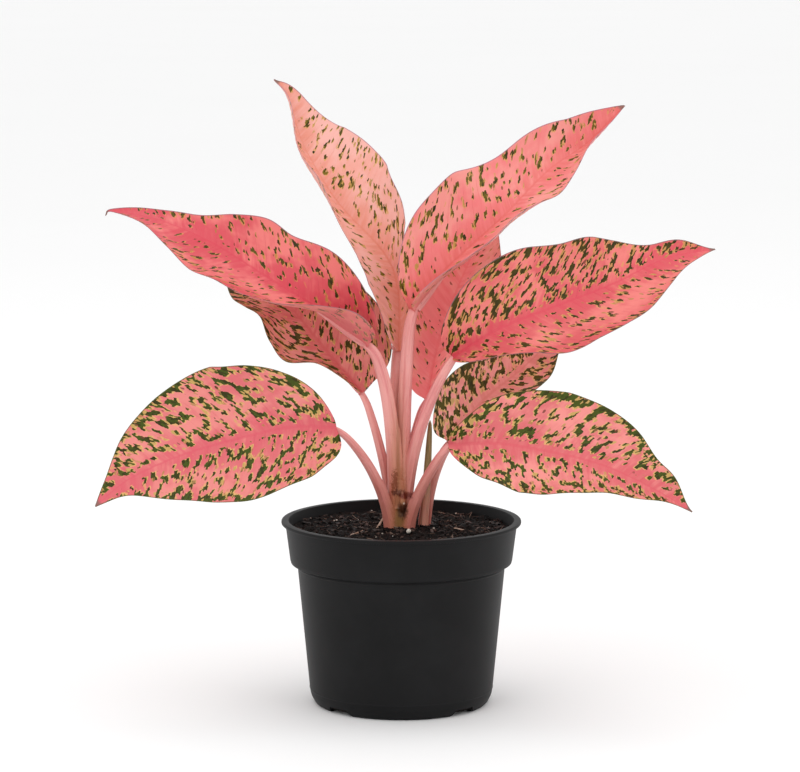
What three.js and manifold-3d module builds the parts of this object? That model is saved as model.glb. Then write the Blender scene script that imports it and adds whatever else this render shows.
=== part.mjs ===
// A pink-leaved Chinese evergreen in a plain nursery pot.
// Millimetres, +Z up. The origin is the middle of the pot's underside and the front faces -Y.

import * as THREE from "three";
import { mergeVertices } from "three/addons/utils/BufferGeometryUtils.js";
import Module from "manifold-3d";

const wasm = await Module();
wasm.setup();

// ---------------------------------------------------------------- driving dimensions

const GAP = 0.3;               // clearance between pieces that touch
const POT_RIM_RADIUS = 75;     // a 15 cm nursery pot
const POT_HEIGHT = 116;
const POT_WALL = 1.8;
const POT_SIDES = 56;
const FOOT_RADIUS = 54;
const BODY_LOW_RADIUS = 57.5;  // just above the foot
const BODY_HIGH_RADIUS = 65;   // just under the band
const BAND_LOW_RADIUS = 69.6;
const BAND_HIGH_RADIUS = 72.5;
const FOOT_TOP = 10;
const BODY_TOP = 88;
const BAND_BOTTOM = 91.3;
const LIP_THICKNESS = 2.2;
const FLOOR_THICKNESS = 2.2;

const TUNNEL_COUNT = 4;        // drainage channels under the edge of the floor
const TUNNEL_HEIGHT = 4;
const TUNNEL_LOW_WIDTH = 19;
const TUNNEL_HIGH_WIDTH = 14;
const TUNNEL_INNER_RADIUS = 42;
const DRAIN_HOLE_RADIUS = 4;
const DRAIN_HOLE_CENTRE = 49;

const SOIL_EDGE_HEIGHT = 109.3;
const SOIL_MOUND = 3.2;        // how much higher the soil stands round the stems
const SOIL_MOUND_RADIUS = 30;
const SOIL_BUMP = 0.9;
const SOIL_RINGS = 9;
const SOIL_SIDES = 44;

const BLADE_THICKNESS = 0.9;
const BLADE_EDGE = 0.5;        // half width left where a blade runs out at its ends
const BLADE_STEPS = 24;        // along the midrib
const BLADE_COLUMNS = [0, 0.12, 0.42, 0.72, 1];  // from the midrib to a margin
const TIP_CURVE = 1.8;         // how soon a blade starts to narrow past its widest place
const LOBE_PLACE = 0.05;       // where along a blade its lobes reach back furthest
const KEEL_HEIGHT = 2.6;       // the midrib stands out of the underside
const KEEL_SPREAD = 5;         // in mm2, how broad the keel is
const WAVES = 7;               // half waves along a margin
const WAVE_START = { left: 0.3, right: 1.1 };  // in half waves
const HALF_BLEND = 2.4;        // how soon, away from the midrib, a half keeps its own facing
const STEM_SIDES = 10;
const STEM_STEPS = 14;
const STEM_SWELL = 0.5;        // how soon a stem thickens below the blade
const PETIOLE_FOOT = 107;      // petioles start inside the cane, at this height

const CANE = { x: -1.5, y: -1, radius: 9.3, bottom: 88, shoulder: 116, top: 142, topRadius: 5 };

// ---------------------------------------------------------------- the leaves

// A midrib passes through the points given, from the petiole to the tip. left and right are
// the halves of the blade, seen from above with the tip ahead. width is a half's widest
// place in mm and widest is where along the midrib that lies. round is how full the half is
// towards the petiole, and taper how drawn out it is towards the tip. lean is how many
// degrees the half leans to the front, and edge how far its margin bulges past the plain
// shape, in mm, both in even steps from the petiole to the tip. cup is how deep it is
// hollowed, as a share of its width. lobe is how far the base reaches back past the petiole,
// and ripple the depth of the waves along the margins, in mm.
const LEAVES = [
  {
    name: "leaf_top_left",
    midrib: [[-1, 10, 221], [-2, 27, 258], [-12, 37, 281], [-40, 51, 310], [-62, 68, 345],
      [-72, 79, 375], [-81, 82, 386]],
    left: { width: 30, widest: 0.38, round: 2, taper: 1.2, cup: 0.1,
      lean: [62, 56, 52, 59, 74, 87, 88, 85, 87, 92, 95], edge: [0, 0] },
    right: { width: 39, widest: 0.52, round: 1.25, taper: 1.05, cup: 0.08,
      lean: [50, 64, 75, 55, 18, 8, 0, -5, -10, -10, -10],
      edge: [0, 0, 0, 0, -1, 0, 1, 2, 0, -4, -2] },
    lobe: 2,
    ripple: 1.2,
    petiole: { foot: [0, 1], bend: [-5, 6, 165], radius: [4.6, 5.4] },
    colour: 0xe89a92,
  },
  {
    name: "leaf_top_right",
    midrib: [[6, 4, 248], [27, 15, 271], [62, 34, 301], [92, 50, 330], [118, 63, 347], [142, 72, 370]],
    left: { width: 40, widest: 0.34, round: 1.8, taper: 0.9, cup: 0.08,
      lean: [25, 5, 0, -36, -5, 0], edge: [0, 2, 3, 2, 2, 0, -1, -0.5, 0.5, 3, 0] },
    right: { width: 30, widest: 0.38, round: 1.8, taper: 1.2, cup: 0.1,
      lean: [112, 98, 86, 86, 87, 73, 58, 64, 86, 92, 88], edge: [0, 0] },
    lobe: 2,
    ripple: 1.2,
    petiole: { foot: [1, -1], bend: [0, 2, 190], radius: [3, 5] },
    colour: 0xe57f7f,
  },
  {
    name: "leaf_middle_left",
    midrib: [[-20, -6, 228], [-52, -7, 250], [-83, -4, 269], [-118, 3, 290], [-151, 13, 303],
      [-180, 24, 307.5], [-185, 25, 304.5]],
    left: { width: 38, widest: 0.42, round: 1.9, taper: 1.3, cup: 0.1,
      lean: [128, 124, 103, 80, 72, 68, 55, 64, 76, 80, 84], edge: [0, 0] },
    right: { width: 36, widest: 0.28, round: 1.8, taper: 1.5, cup: 0.08,
      lean: [48, 8, -28, -32, -58, -45],
      edge: [0, 0, -1, -2.5, -1.5, 3, 0, -3.5, -0.5, 3, 0] },
    lobe: 5,
    ripple: 1.2,
    petiole: { foot: [-4, -1], bend: [-2, -5, 200], radius: [2.6, 5] },
    colour: 0xe0606b,
  },
  {
    name: "leaf_behind_left",
    midrib: [[-24, 4, 196], [-45, 17, 218], [-70, 32, 246], [-97, 46, 271], [-122, 54, 286]],
    left: { width: 34, widest: 0.5, round: 1.5, taper: 1.1, cup: 0.08,
      lean: [84, 82, 72, 36, 50, 66, 55, 44, 40, 40, 42], edge: [0, 0] },
    right: { width: 43, widest: 0.29, round: 2.2, taper: 1.4, cup: 0.08,
      lean: [5, -4, -4, 0, 5, 5], edge: [0, 0] },
    lobe: 4,
    ripple: 1.4,
    petiole: { foot: [-3, 1], bend: [-10.5, 2, 160], radius: [1.7, 3.4] },
    colour: 0xdb6a6c,
  },
  {
    name: "leaf_centre",
    midrib: [[16, 16, 190], [22, 28, 219], [32, 41, 248], [45, 55, 277], [56, 67, 305]],
    left: { width: 33, widest: 0.56, round: 1.7, taper: 0.8, cup: 0.08,
      lean: [10, 8, 5, 0, 0, 0], edge: [0, 0] },
    right: { width: 30, widest: 0.58, round: 1.7, taper: 0.8, cup: 0.08,
      lean: [75, 62, 46, 42, 52, 65], edge: [0, 0] },
    lobe: 2,
    ripple: 1,
    petiole: { foot: [1, 2], bend: [3, 7, 155], radius: [2.6, 4.2] },
    colour: 0xdd5a66,
  },
  {
    name: "leaf_middle_right",
    midrib: [[32, -4, 219], [61, -12, 238], [97, -16, 253], [131, -13, 266], [163, -8, 281],
      [194, -2, 286]],
    left: { width: 41, widest: 0.34, round: 1.8, taper: 1.3, cup: 0.08,
      lean: [40, 5, -20, -8, -38, -20], edge: [0, 0, 0, 0, 0, -2, 1, 0, -4, 3, 0] },
    right: { width: 41, widest: 0.46, round: 1.35, taper: 1.1, cup: 0.1,
      lean: [78, 62, 58, 58, 50, 54, 56, 52, 55, 70, 82], edge: [0, 0] },
    lobe: 4,
    ripple: 1.2,
    petiole: { foot: [2, 0], bend: [2, -2, 168], radius: [2.2, 4.5] },
    colour: 0xe0646c,
  },
  {
    name: "leaf_low_left",
    midrib: [[-40, -20, 177], [-67, -35, 180], [-104, -51, 174], [-135, -61, 166],
      [-165, -69, 153], [-185, -72, 137]],
    left: { width: 45, widest: 0.37, round: 2, taper: 1.25, cup: 0.08,
      lean: [56, 47, 37, 36, 36, 36],
      edge: [0, -3, -1.5, -3, -2.5, -1, 1, 0, -0.5, -3, 0] },
    right: { width: 45, widest: 0.44, round: 1.2, taper: 1.1, cup: 0.06,
      lean: [0, -10, -10, -12, -12, -12],
      edge: [0, 8, 10, 7, 2, 1, 0.5, 0.5, 0, -5, 0] },
    lobe: 2,
    ripple: 1.2,
    petiole: { foot: [-5.5, -3], bend: [-12, -9, 151], radius: [1.5, 3.8] },
    colour: 0xe3757a,
  },
  {
    name: "leaf_low_right",
    midrib: [[29, -18, 166], [59, -37, 170], [95, -56, 167], [124, -69, 161], [152, -79, 149],
      [175, -82, 135.5]],
    left: { width: 38, widest: 0.45, round: 1.35, taper: 1.4, cup: 0.06,
      lean: [25, -5, -10, -15, -10, -10],
      edge: [0, 0, 4, 2.5, 0, -1, 0, 1, 0, 6, 0] },
    right: { width: 36, widest: 0.38, round: 1.25, taper: 1.2, cup: 0.08,
      lean: [30, 42, 43, 56, 62, 70],
      edge: [0, 1, 1, -3.5, -3.5, 0, 0, 1.5, 3.5, -4, 0] },
    lobe: 2,
    ripple: 1.2,
    petiole: { foot: [2, -4], bend: [7, -9, 134], radius: [2, 4] },
    colour: 0xe3757a,
  },
  {
    name: "leaf_behind_right",
    midrib: [[30.5, 10, 163], [51, 19, 188], [76, 31, 207], [97, 41, 226], [114, 48, 244]],
    left: { width: 25, widest: 0.24, round: 1.9, taper: 0.9, cup: 0.08,
      lean: [20, 10, -25, -38, -30, 0], edge: [0, 1.5, -1, 0, 0, 0] },
    right: { width: 21, widest: 0.5, round: 1.6, taper: 1.1, cup: 0.08,
      lean: [45, 52, 48, 46, 64, 66], edge: [0, 0, 0, -1, -2.5, 0] },
    lobe: 6,
    ripple: 1.4,
    petiole: { foot: [14, 7], bend: [13, 7, 138], radius: [2.4, 4.3] },
    colour: 0xcf7f80,
  },
];
const SIDE_LEAF = "leaf_behind_right";  // its petiole stands in the soil by itself
const SIDE_FOOT = 90;

const YOUNG_LEAF = {
  foot: [12.5, -2, 96],
  bend: [16, -2, 140],
  top: [18, 5, 178],
  radius: [0.6, 3.1],
  swell: 0.25,
};
const BUD = { foot: [0, -5, 122], bend: [1, -9, 128], top: [0.5, -8, 135], radius: [0.5, 2.3] };

// ---------------------------------------------------------------- solids from meshes

// A manifold solid from positions and triangles. Vertices that coincide become one, and
// triangles that collapse with them are left out.
function solid(positions, triangles) {
  const loose = new THREE.BufferGeometry();
  loose.setAttribute("position", new THREE.Float32BufferAttribute(positions, 3));
  loose.setIndex(triangles);
  const geometry = mergeVertices(loose, 1e-4);
  const index = geometry.index.array;
  const kept = [];
  for (let i = 0; i < index.length; i += 3) {
    const [a, b, c] = [index[i], index[i + 1], index[i + 2]];
    if (a !== b && b !== c && c !== a) kept.push(a, b, c);
  }
  const vertProperties = new Float32Array(geometry.attributes.position.array);
  const triVerts = new Uint32Array(kept);
  return new wasm.Manifold(new wasm.Mesh({ numProp: 3, vertProperties, triVerts }));
}

function solidOf(geometry) {
  const bare = geometry.clone();
  bare.deleteAttribute("normal");
  bare.deleteAttribute("uv");
  const merged = mergeVertices(bare, 1e-4);
  return solid(Array.from(merged.attributes.position.array), Array.from(merged.index.array));
}

function geometryOf(body) {
  const mesh = body.getMesh();
  const geometry = new THREE.BufferGeometry();
  geometry.setAttribute("position", new THREE.Float32BufferAttribute(mesh.vertProperties, 3));
  geometry.setIndex(Array.from(mesh.triVerts));
  return geometry;
}

// The largest connected shell, without scraps and without hollows that a join closed.
function mainBody(body) {
  const shells = body.decompose();
  shells.sort((a, b) => b.volume() - a.volume());
  return shells[0];
}

function unite(bodies) {
  return bodies.reduce((whole, body) => whole.add(body));
}

// A closed solid through rings of equally many points, with a flat cap at each end.
function loft(rings) {
  const sides = rings[0].length;
  const positions = rings.flat().flatMap((point) => point.toArray());
  const triangles = [];
  for (let r = 0; r < rings.length - 1; r += 1) {
    for (let s = 0; s < sides; s += 1) {
      const a = r * sides + s;
      const b = r * sides + ((s + 1) % sides);
      triangles.push(a, b, b + sides, a, b + sides, a + sides);
    }
  }
  const last = (rings.length - 1) * sides;
  for (let s = 1; s < sides - 1; s += 1) {
    triangles.push(0, s + 1, s);
    triangles.push(last, last + s, last + s + 1);
  }
  return solid(positions, triangles);
}

// ---------------------------------------------------------------- pot

// The outer wall from the foot up to the lip, moved inwards by inset.
function potOutline(inset) {
  const lipBottom = POT_HEIGHT - LIP_THICKNESS;
  return [
    [FOOT_RADIUS - inset, 0],
    [FOOT_RADIUS + 2.4 - inset, 1.6],
    [BODY_LOW_RADIUS - 0.4 - inset, FOOT_TOP - 4],
    [BODY_LOW_RADIUS - inset, FOOT_TOP],
    [BODY_HIGH_RADIUS - inset, BODY_TOP],
    [BODY_HIGH_RADIUS + 3.4 - inset, BAND_BOTTOM - 1.6],
    [BAND_LOW_RADIUS - inset, BAND_BOTTOM],
    [BAND_HIGH_RADIUS - inset, lipBottom],
  ];
}

function lathe(points) {
  const profile = points.map(([radius, height]) => new THREE.Vector2(radius, height));
  const geometry = new THREE.LatheGeometry(profile, POT_SIDES);
  geometry.rotateX(Math.PI / 2);
  return solidOf(geometry);
}

// A drainage channel, running outwards, as the prism between two heights; margin widens it.
function tunnel(angle, margin, outerRadius) {
  const shape = new THREE.Shape();
  shape.moveTo(-TUNNEL_LOW_WIDTH / 2 - margin, -1);
  shape.lineTo(TUNNEL_LOW_WIDTH / 2 + margin, -1);
  shape.lineTo(TUNNEL_HIGH_WIDTH / 2 + margin, TUNNEL_HEIGHT + margin);
  shape.lineTo(-TUNNEL_HIGH_WIDTH / 2 - margin, TUNNEL_HEIGHT + margin);
  const inner = TUNNEL_INNER_RADIUS - margin;
  const prism = new THREE.ExtrudeGeometry(shape, { depth: outerRadius - inner, bevelEnabled: false });
  prism.translate(0, 0, inner);
  prism.rotateX(Math.PI / 2);
  prism.rotateZ(angle + Math.PI);
  return solidOf(prism);
}

function tunnels(margin, outerRadius) {
  const bodies = [];
  for (let i = 0; i < TUNNEL_COUNT; i += 1) {
    bodies.push(tunnel(Math.PI / 4 + (i * Math.PI * 2) / TUNNEL_COUNT, margin, outerRadius));
  }
  return unite(bodies);
}

function drainHoles() {
  const bodies = [];
  for (let i = 0; i < TUNNEL_COUNT; i += 1) {
    const drill = new THREE.CylinderGeometry(DRAIN_HOLE_RADIUS, DRAIN_HOLE_RADIUS, 12, 16);
    drill.rotateX(Math.PI / 2);
    drill.translate(0, -DRAIN_HOLE_CENTRE, 4);
    drill.rotateZ(Math.PI / 4 + (i * Math.PI * 2) / TUNNEL_COUNT);
    bodies.push(solidOf(drill));
  }
  return unite(bodies);
}

// The space inside the pot, shrunk by clearance, up to the given height.
function potInside(clearance, height) {
  const inset = POT_WALL + clearance;
  const wall = potOutline(inset).filter(([, z]) => z > FOOT_TOP && z < height - 1);
  const floor = FLOOR_THICKNESS + clearance;
  const slope = (BODY_HIGH_RADIUS - BODY_LOW_RADIUS) / (BODY_TOP - FOOT_TOP);
  const lowest = BODY_LOW_RADIUS - inset - slope * (FOOT_TOP - floor);
  const topRadius = BAND_LOW_RADIUS - inset
    + ((BAND_HIGH_RADIUS - BAND_LOW_RADIUS) * (height - BAND_BOTTOM)) / (POT_HEIGHT - BAND_BOTTOM);
  return { outline: [[lowest - 2, floor], [lowest, floor + 2.5], ...wall], topRadius };
}

function makePot() {
  const lipBottom = POT_HEIGHT - LIP_THICKNESS;
  const outside = lathe([
    [0, 0],
    ...potOutline(0),
    [POT_RIM_RADIUS - 0.5, lipBottom],
    [POT_RIM_RADIUS, lipBottom + 0.6],
    [POT_RIM_RADIUS, POT_HEIGHT - 0.7],
    [POT_RIM_RADIUS - 0.7, POT_HEIGHT],
    [0, POT_HEIGHT],
  ]);
  const { outline, topRadius } = potInside(0, POT_HEIGHT + 1);
  const inside = lathe([[0, FLOOR_THICKNESS], ...outline, [topRadius, POT_HEIGHT + 1], [0, POT_HEIGHT + 1]]);
  const roofs = tunnels(POT_WALL, POT_RIM_RADIUS).intersect(outside);
  const shell = outside.subtract(inside).add(roofs);
  return mainBody(shell.subtract(tunnels(0, POT_RIM_RADIUS)).subtract(drainHoles()));
}

// ---------------------------------------------------------------- soil

function soilHeight(x, y) {
  const away = Math.hypot(x, y) / SOIL_MOUND_RADIUS;
  const mound = SOIL_MOUND * Math.exp(-away * away);
  const bumps = Math.sin(0.31 * x + 0.9) * Math.sin(0.27 * y - 0.4)
    + 0.6 * Math.sin(0.63 * x - 0.47 * y + 2.1);
  return SOIL_EDGE_HEIGHT + mound + SOIL_BUMP * bumps;
}

function makeSoil(stems) {
  const { outline, topRadius } = potInside(GAP, SOIL_EDGE_HEIGHT);
  const rings = [];
  const ring = (radius, height) => {
    const points = [];
    for (let s = 0; s < SOIL_SIDES; s += 1) {
      const angle = (s / SOIL_SIDES) * Math.PI * 2;
      const x = radius * Math.cos(angle);
      const y = radius * Math.sin(angle);
      points.push(new THREE.Vector3(x, y, height ?? soilHeight(x, y)));
    }
    rings.push(points);
  };
  outline.forEach(([radius, height]) => ring(radius, height));
  for (let i = 0; i < SOIL_RINGS; i += 1) {
    ring((topRadius - 0.4) * (1 - i / SOIL_RINGS));
  }
  ring(0.05);
  const roofs = tunnels(POT_WALL + GAP, POT_RIM_RADIUS);
  return mainBody(loft(rings).subtract(roofs).subtract(stems));
}

// ---------------------------------------------------------------- stems

// A round stem that rises from its foot, turns at its bend and thins towards its top.
function makeStem({ foot, bend, top, radius, swell = STEM_SWELL }, growth = 0) {
  const path = new THREE.QuadraticBezierCurve3(...[foot, bend, top].map((p) => new THREE.Vector3(...p)));
  const [topRadius, footRadius] = radius;
  const rings = [];
  for (let i = 0; i <= STEM_STEPS; i += 1) {
    const u = i / STEM_STEPS;
    const centre = path.getPoint(u);
    const ahead = path.getTangent(u);
    const side = new THREE.Vector3(1, 0, 0).cross(ahead).normalize();
    const other = new THREE.Vector3().crossVectors(ahead, side);
    const width = topRadius + (footRadius - topRadius) * (1 - u) ** swell + growth;
    if (i === 0) centre.addScaledVector(ahead, -growth);
    if (i === STEM_STEPS) centre.addScaledVector(ahead, growth);
    const ring = [];
    for (let s = 0; s < STEM_SIDES; s += 1) {
      const angle = (s / STEM_SIDES) * Math.PI * 2;
      ring.push(centre.clone()
        .addScaledVector(side, width * Math.cos(angle))
        .addScaledVector(other, width * Math.sin(angle)));
    }
    rings.push(ring);
  }
  return loft(rings);
}

// The stem of a leaf, from its foot at the given height to the base of the blade.
function petioleOf(leaf, height) {
  const { foot, bend, radius } = leaf.petiole;
  return { foot: [...foot, height], bend, top: leaf.midrib[0], radius };
}

// The short cane that carries the petioles, from its foot in the soil to its hidden tip.
function makeCane(growth = 0) {
  const levels = [
    [CANE.bottom - growth, CANE.radius + growth],
    [CANE.shoulder, CANE.radius + growth],
    [CANE.top, CANE.topRadius + growth],
  ];
  const rings = levels.map(([height, radius]) => {
    const ring = [];
    for (let s = 0; s < STEM_SIDES * 2; s += 1) {
      const angle = (s / (STEM_SIDES * 2)) * Math.PI * 2;
      ring.push(new THREE.Vector3(CANE.x + radius * Math.cos(angle),
        CANE.y + radius * Math.sin(angle), height));
    }
    return ring;
  });
  return loft(rings);
}

function mainStem(growth = 0) {
  const petioles = LEAVES.filter((leaf) => leaf.name !== SIDE_LEAF)
    .map((leaf) => makeStem(petioleOf(leaf, PETIOLE_FOOT), growth));
  return mainBody(unite([makeCane(growth), ...petioles, makeStem(BUD, growth)]));
}

function sideStem(growth = 0) {
  const leaf = LEAVES.find(({ name }) => name === SIDE_LEAF);
  return makeStem(petioleOf(leaf, SIDE_FOOT), growth);
}

// ---------------------------------------------------------------- blades

// A smooth curve through points. A plain number counts as a point on the x axis.
function smooth(points) {
  const vectors = points.map((p) => new THREE.Vector3(...[p].flat()));
  return new THREE.CatmullRomCurve3(vectors, false, "catmullrom", 0.5);
}

// Half the blade's width at u, from the petiole at 0 to the tip at 1.
function halfWidth(u, { width, widest, round, taper, edge }) {
  const share = u < widest
    ? (1 - (1 - u / widest) ** round) ** (1 / round)
    : (1 - ((u - widest) / (1 - widest)) ** TIP_CURVE) ** taper;
  const bulge = smooth(edge).getPoint(u).x * Math.sqrt(Math.max(0, Math.sin(Math.PI * u)));
  return BLADE_EDGE + width * share + bulge;
}

// How a half lies at u: the way out to its margin, the way its upper face looks, its width.
function halfAt(u, half, hand, ahead) {
  const across = new THREE.Vector3().crossVectors(ahead, new THREE.Vector3(0, 1, 0)).normalize();
  const front = new THREE.Vector3().crossVectors(ahead, across);
  if (hand === "right") across.negate();
  const lean = THREE.MathUtils.degToRad(smooth(half.lean).getPoint(u).x);
  const out = across.clone().multiplyScalar(Math.cos(lean)).addScaledVector(front, Math.sin(lean));
  const facing = front.clone().multiplyScalar(Math.cos(lean)).addScaledVector(across, -Math.sin(lean));
  return { out, facing, width: halfWidth(u, half) };
}

// One leaf blade: a thin curved sheet with a keel under its midrib, cut clear of the stems.
function makeBlade(leaf, stems) {
  const midrib = smooth(leaf.midrib);
  const columns = [
    ...BLADE_COLUMNS.slice(1).reverse().map((share) => ["left", share]),
    ["left", 0],
    ...BLADE_COLUMNS.slice(1).map((share) => ["right", share]),
  ];
  const upper = [];
  const lower = [];
  for (let i = 0; i <= BLADE_STEPS; i += 1) {
    const even = i / BLADE_STEPS;
    const u = (even + (1 - Math.cos(Math.PI * even)) / 2) / 2;   // closer towards both ends
    const centre = midrib.getPointAt(u);
    const ahead = midrib.getTangentAt(u);
    const halves = {};
    for (const hand of ["left", "right"]) halves[hand] = halfAt(u, leaf[hand], hand, ahead);
    const middle = halves.left.facing.clone().add(halves.right.facing).normalize();
    const back = leaf.lobe * (u / LOBE_PLACE) * Math.exp(1 - u / LOBE_PLACE);
    for (const [hand, share] of columns) {
      const { out, facing, width } = halves[hand];
      const cup = leaf[hand].cup * width * 4 * share * (1 - share);
      const wave = Math.sin(Math.PI * (WAVES * u + WAVE_START[hand]));
      const ripple = leaf.ripple * share * share * wave * Math.sin(Math.PI * u);
      const point = centre.clone()
        .addScaledVector(out, width * share)
        .addScaledVector(ahead, -back * share * share)
        .addScaledVector(facing, ripple - cup);
      const normal = middle.clone().lerp(facing, Math.min(1, share * HALF_BLEND)).normalize();
      const keel = KEEL_HEIGHT * (1 - u) * Math.exp(-((share * width) ** 2) / KEEL_SPREAD);
      upper.push(point);
      lower.push(point.clone().addScaledVector(normal, -BLADE_THICKNESS - keel));
    }
  }
  const across = columns.length;
  const positions = [...upper, ...lower].flatMap((point) => point.toArray());
  const under = upper.length;
  const triangles = [];
  const cell = (row, column) => row * across + column;
  for (let row = 0; row < BLADE_STEPS; row += 1) {
    for (let column = 0; column < across - 1; column += 1) {
      const [a, b] = [cell(row, column), cell(row, column + 1)];
      const [c, d] = [cell(row + 1, column + 1), cell(row + 1, column)];
      triangles.push(a, b, c, a, c, d);
      triangles.push(a + under, c + under, b + under, a + under, d + under, c + under);
    }
    const [p, q] = [cell(row, 0), cell(row + 1, 0)];
    triangles.push(p, q, q + under, p, q + under, p + under);
    const [r, s] = [cell(row, across - 1), cell(row + 1, across - 1)];
    triangles.push(r, s + under, s, r, r + under, s + under);
  }
  for (let column = 0; column < across - 1; column += 1) {
    const [a, b] = [cell(0, column), cell(0, column + 1)];
    triangles.push(a, b + under, b, a, a + under, b + under);
    const [c, d] = [cell(BLADE_STEPS, column), cell(BLADE_STEPS, column + 1)];
    triangles.push(c, d, d + under, c, d + under, c + under);
  }
  return mainBody(solid(positions, triangles).subtract(stems));
}

// ---------------------------------------------------------------- assembly

function piece(name, body, colour, roughness) {
  const material = new THREE.MeshStandardMaterial({ color: colour, roughness, metalness: 0 });
  const mesh = new THREE.Mesh(geometryOf(body), material);
  mesh.name = name;
  return mesh;
}

const grownStems = unite([mainStem(GAP), sideStem(GAP), makeStem(YOUNG_LEAF, GAP)]);

const group = new THREE.Group();
group.add(piece("pot", makePot(), 0x242425, 0.5));
group.add(piece("soil", makeSoil(grownStems), 0x2a1f1a, 0.95));
group.add(piece("main_stem", mainStem(), 0xd99a94, 0.5));
group.add(piece("side_stem", sideStem(), 0xc98f84, 0.5));
group.add(piece("young_leaf", makeStem(YOUNG_LEAF), 0x8a7a4a, 0.5));
for (const leaf of LEAVES) {
  group.add(piece(leaf.name, makeBlade(leaf, grownStems), leaf.colour, 0.4));
}

export default group;
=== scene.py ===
"""A pink-leaved Chinese evergreen in a nursery pot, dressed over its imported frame."""

import math
import random

import bmesh
import bpy
from bpy.props import FloatProperty, FloatVectorProperty, IntProperty, PointerProperty
from mathutils import Matrix, Vector, noise


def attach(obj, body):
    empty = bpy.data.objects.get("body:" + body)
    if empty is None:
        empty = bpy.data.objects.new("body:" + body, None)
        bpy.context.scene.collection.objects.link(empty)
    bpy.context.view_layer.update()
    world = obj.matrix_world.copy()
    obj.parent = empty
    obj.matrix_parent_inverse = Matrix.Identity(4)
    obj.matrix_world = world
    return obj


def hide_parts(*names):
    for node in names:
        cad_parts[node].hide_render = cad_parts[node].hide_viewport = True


bl_info = {
    "name": "Potted chinese evergreen",
    "version": (1, 0, 0),
    "blender": (4, 5, 0),
    "location": "3D View > Sidebar > Evergreen",
    "description": "Builds a pink-leaved house plant in its pot around the packed frame",
    "category": "Add Mesh",
}

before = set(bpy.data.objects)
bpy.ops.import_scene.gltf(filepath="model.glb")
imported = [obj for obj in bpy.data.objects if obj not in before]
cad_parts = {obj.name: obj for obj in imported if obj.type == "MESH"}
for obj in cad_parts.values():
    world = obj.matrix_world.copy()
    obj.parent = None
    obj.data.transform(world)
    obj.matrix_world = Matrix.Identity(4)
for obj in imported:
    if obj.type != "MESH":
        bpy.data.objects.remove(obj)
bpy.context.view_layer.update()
MM = 0.001
FRONT_TO_BACK = Vector((0, 1, 0))

# ---------------------------------------------------------------- fixed sizes, in mm

POT_HEIGHT = 116
POT_WALL = 1.8
FLOOR_THICKNESS = 2.2
FOOT_TOP = 5.5                     # where the foot's rounding ends
LOW_BEAD = 9.8                     # heights of the two fine lines round the body
HIGH_BEAD = 86.8
BEAD_RISE = 0.35                   # how far they stand out
STEP_HEIGHT = 88                   # where the body ends, under the band
BAND_FOOT = 91.3                   # where the band's own slope starts
ROUNDING = {"lip": 0.75, "foot": 1.6, "elsewhere": 0.25}    # of the corners of its section
POT_SIDES = 160

TUNNEL_COUNT = 4
TUNNEL_TURN = 45                   # where the first one lies, in degrees
TUNNEL_HEIGHT = 4
TUNNEL_FLOOR = -1                  # the cutter starts below the pot, and is widest there
TUNNEL_LOW_WIDTH = 21
TUNNEL_HIGH_WIDTH = 14
TUNNEL_INNER_RADIUS = 42
TUNNEL_OUTER_RADIUS = 62
HOLE_PLACE = (0, 49, 4)            # the middle of a drainage hole, before it is turned round
HOLE_RADIUS = 4
HOLE_DEPTH = 12

SOIL_RADIUS = 69.2
SOIL_WALL = [(0, 2.6), (54.4, 2.6), (63, 86), (67.4, 92)]    # radius and height, from the floor up
SOIL_WALL_SHARE = 0.12             # the share of the soil's rows that its underside and wall take
SOIL_MOUND_RADIUS = 30
SOIL_GRID = (240, 100)             # faces round it and from its floor's middle to its top's
LITTER_SEED = 20
LITTER_RADIUS = 67.5
CROWN = Vector((4, 1, 0))          # the middle of the stems where they leave the soil
CLEAR = {"crumbs": 8, "chips": 14, "fibres": 14, "perlite": 16}    # how far litter keeps from it
PEBBLE = {"place": (4.6, -21.5), "size": 3}    # the large white grain in front
CRUMB_SIZE = (0.7, 2.3)            # least and most, as in all the pairs below
CHIP_SIZE = [(1.5, 5.5), (0.8, 2.2), (0.3, 0.9)]
FIBRE_LENGTH = (3, 9)
FIBRE_BREADTH = (0.25, 0.7)
GRAIN_SIZE = (0.5, 1.3)

HANDS = ("left", "right")
TIP_WIDTH = 0.4                    # half a blade's width at its two ends
TIP_CURVE = 1.8                    # how soon a blade starts to narrow past its widest place
LOBE_PLACE = 0.05                  # where along a blade its lobes reach back furthest
WAVES = 7                          # half waves along a margin
WAVE_START = {"left": 0.3, "right": 1.1}
FLUTTER = 0.6                      # the small unevenness of a margin
FLUTTER_PACE = 9                   # how often that changes along a blade
HALF_BLEND = 2.4                   # how soon a half keeps its own facing
PUCKER_WIDTH = 15                  # a narrower half puckers less
CHANNEL_DEPTH = 0.25               # of the channel over the midrib, at the petiole
CHANNEL_BREADTH = 2.2
KEEL_SPREAD = 5                    # in mm2, how broad the keel is
KEEL_TAPER = 1.2                   # how soon it thins out towards the tip
VEIN_CURVE = 0.006                 # how much more a side vein runs ahead further out
HALF_OFFSET = 431                  # sets the flecks of one half apart from the other's
PATCH = (1.3, 2)                   # angular patches of the flecks, across and along the veins
CLUMP_STRETCH = 1.15               # how much longer a clump of them is than broad
EDGE_SHIFT = 0.5                   # breadth of the pale edge on one side of a fleck
DRIP_TIP = 5                       # the length of a blade's dry tip
RIB_WIDTH = (1.5, 0.4)             # half the midrib's breadth at the petiole and at the tip

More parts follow.
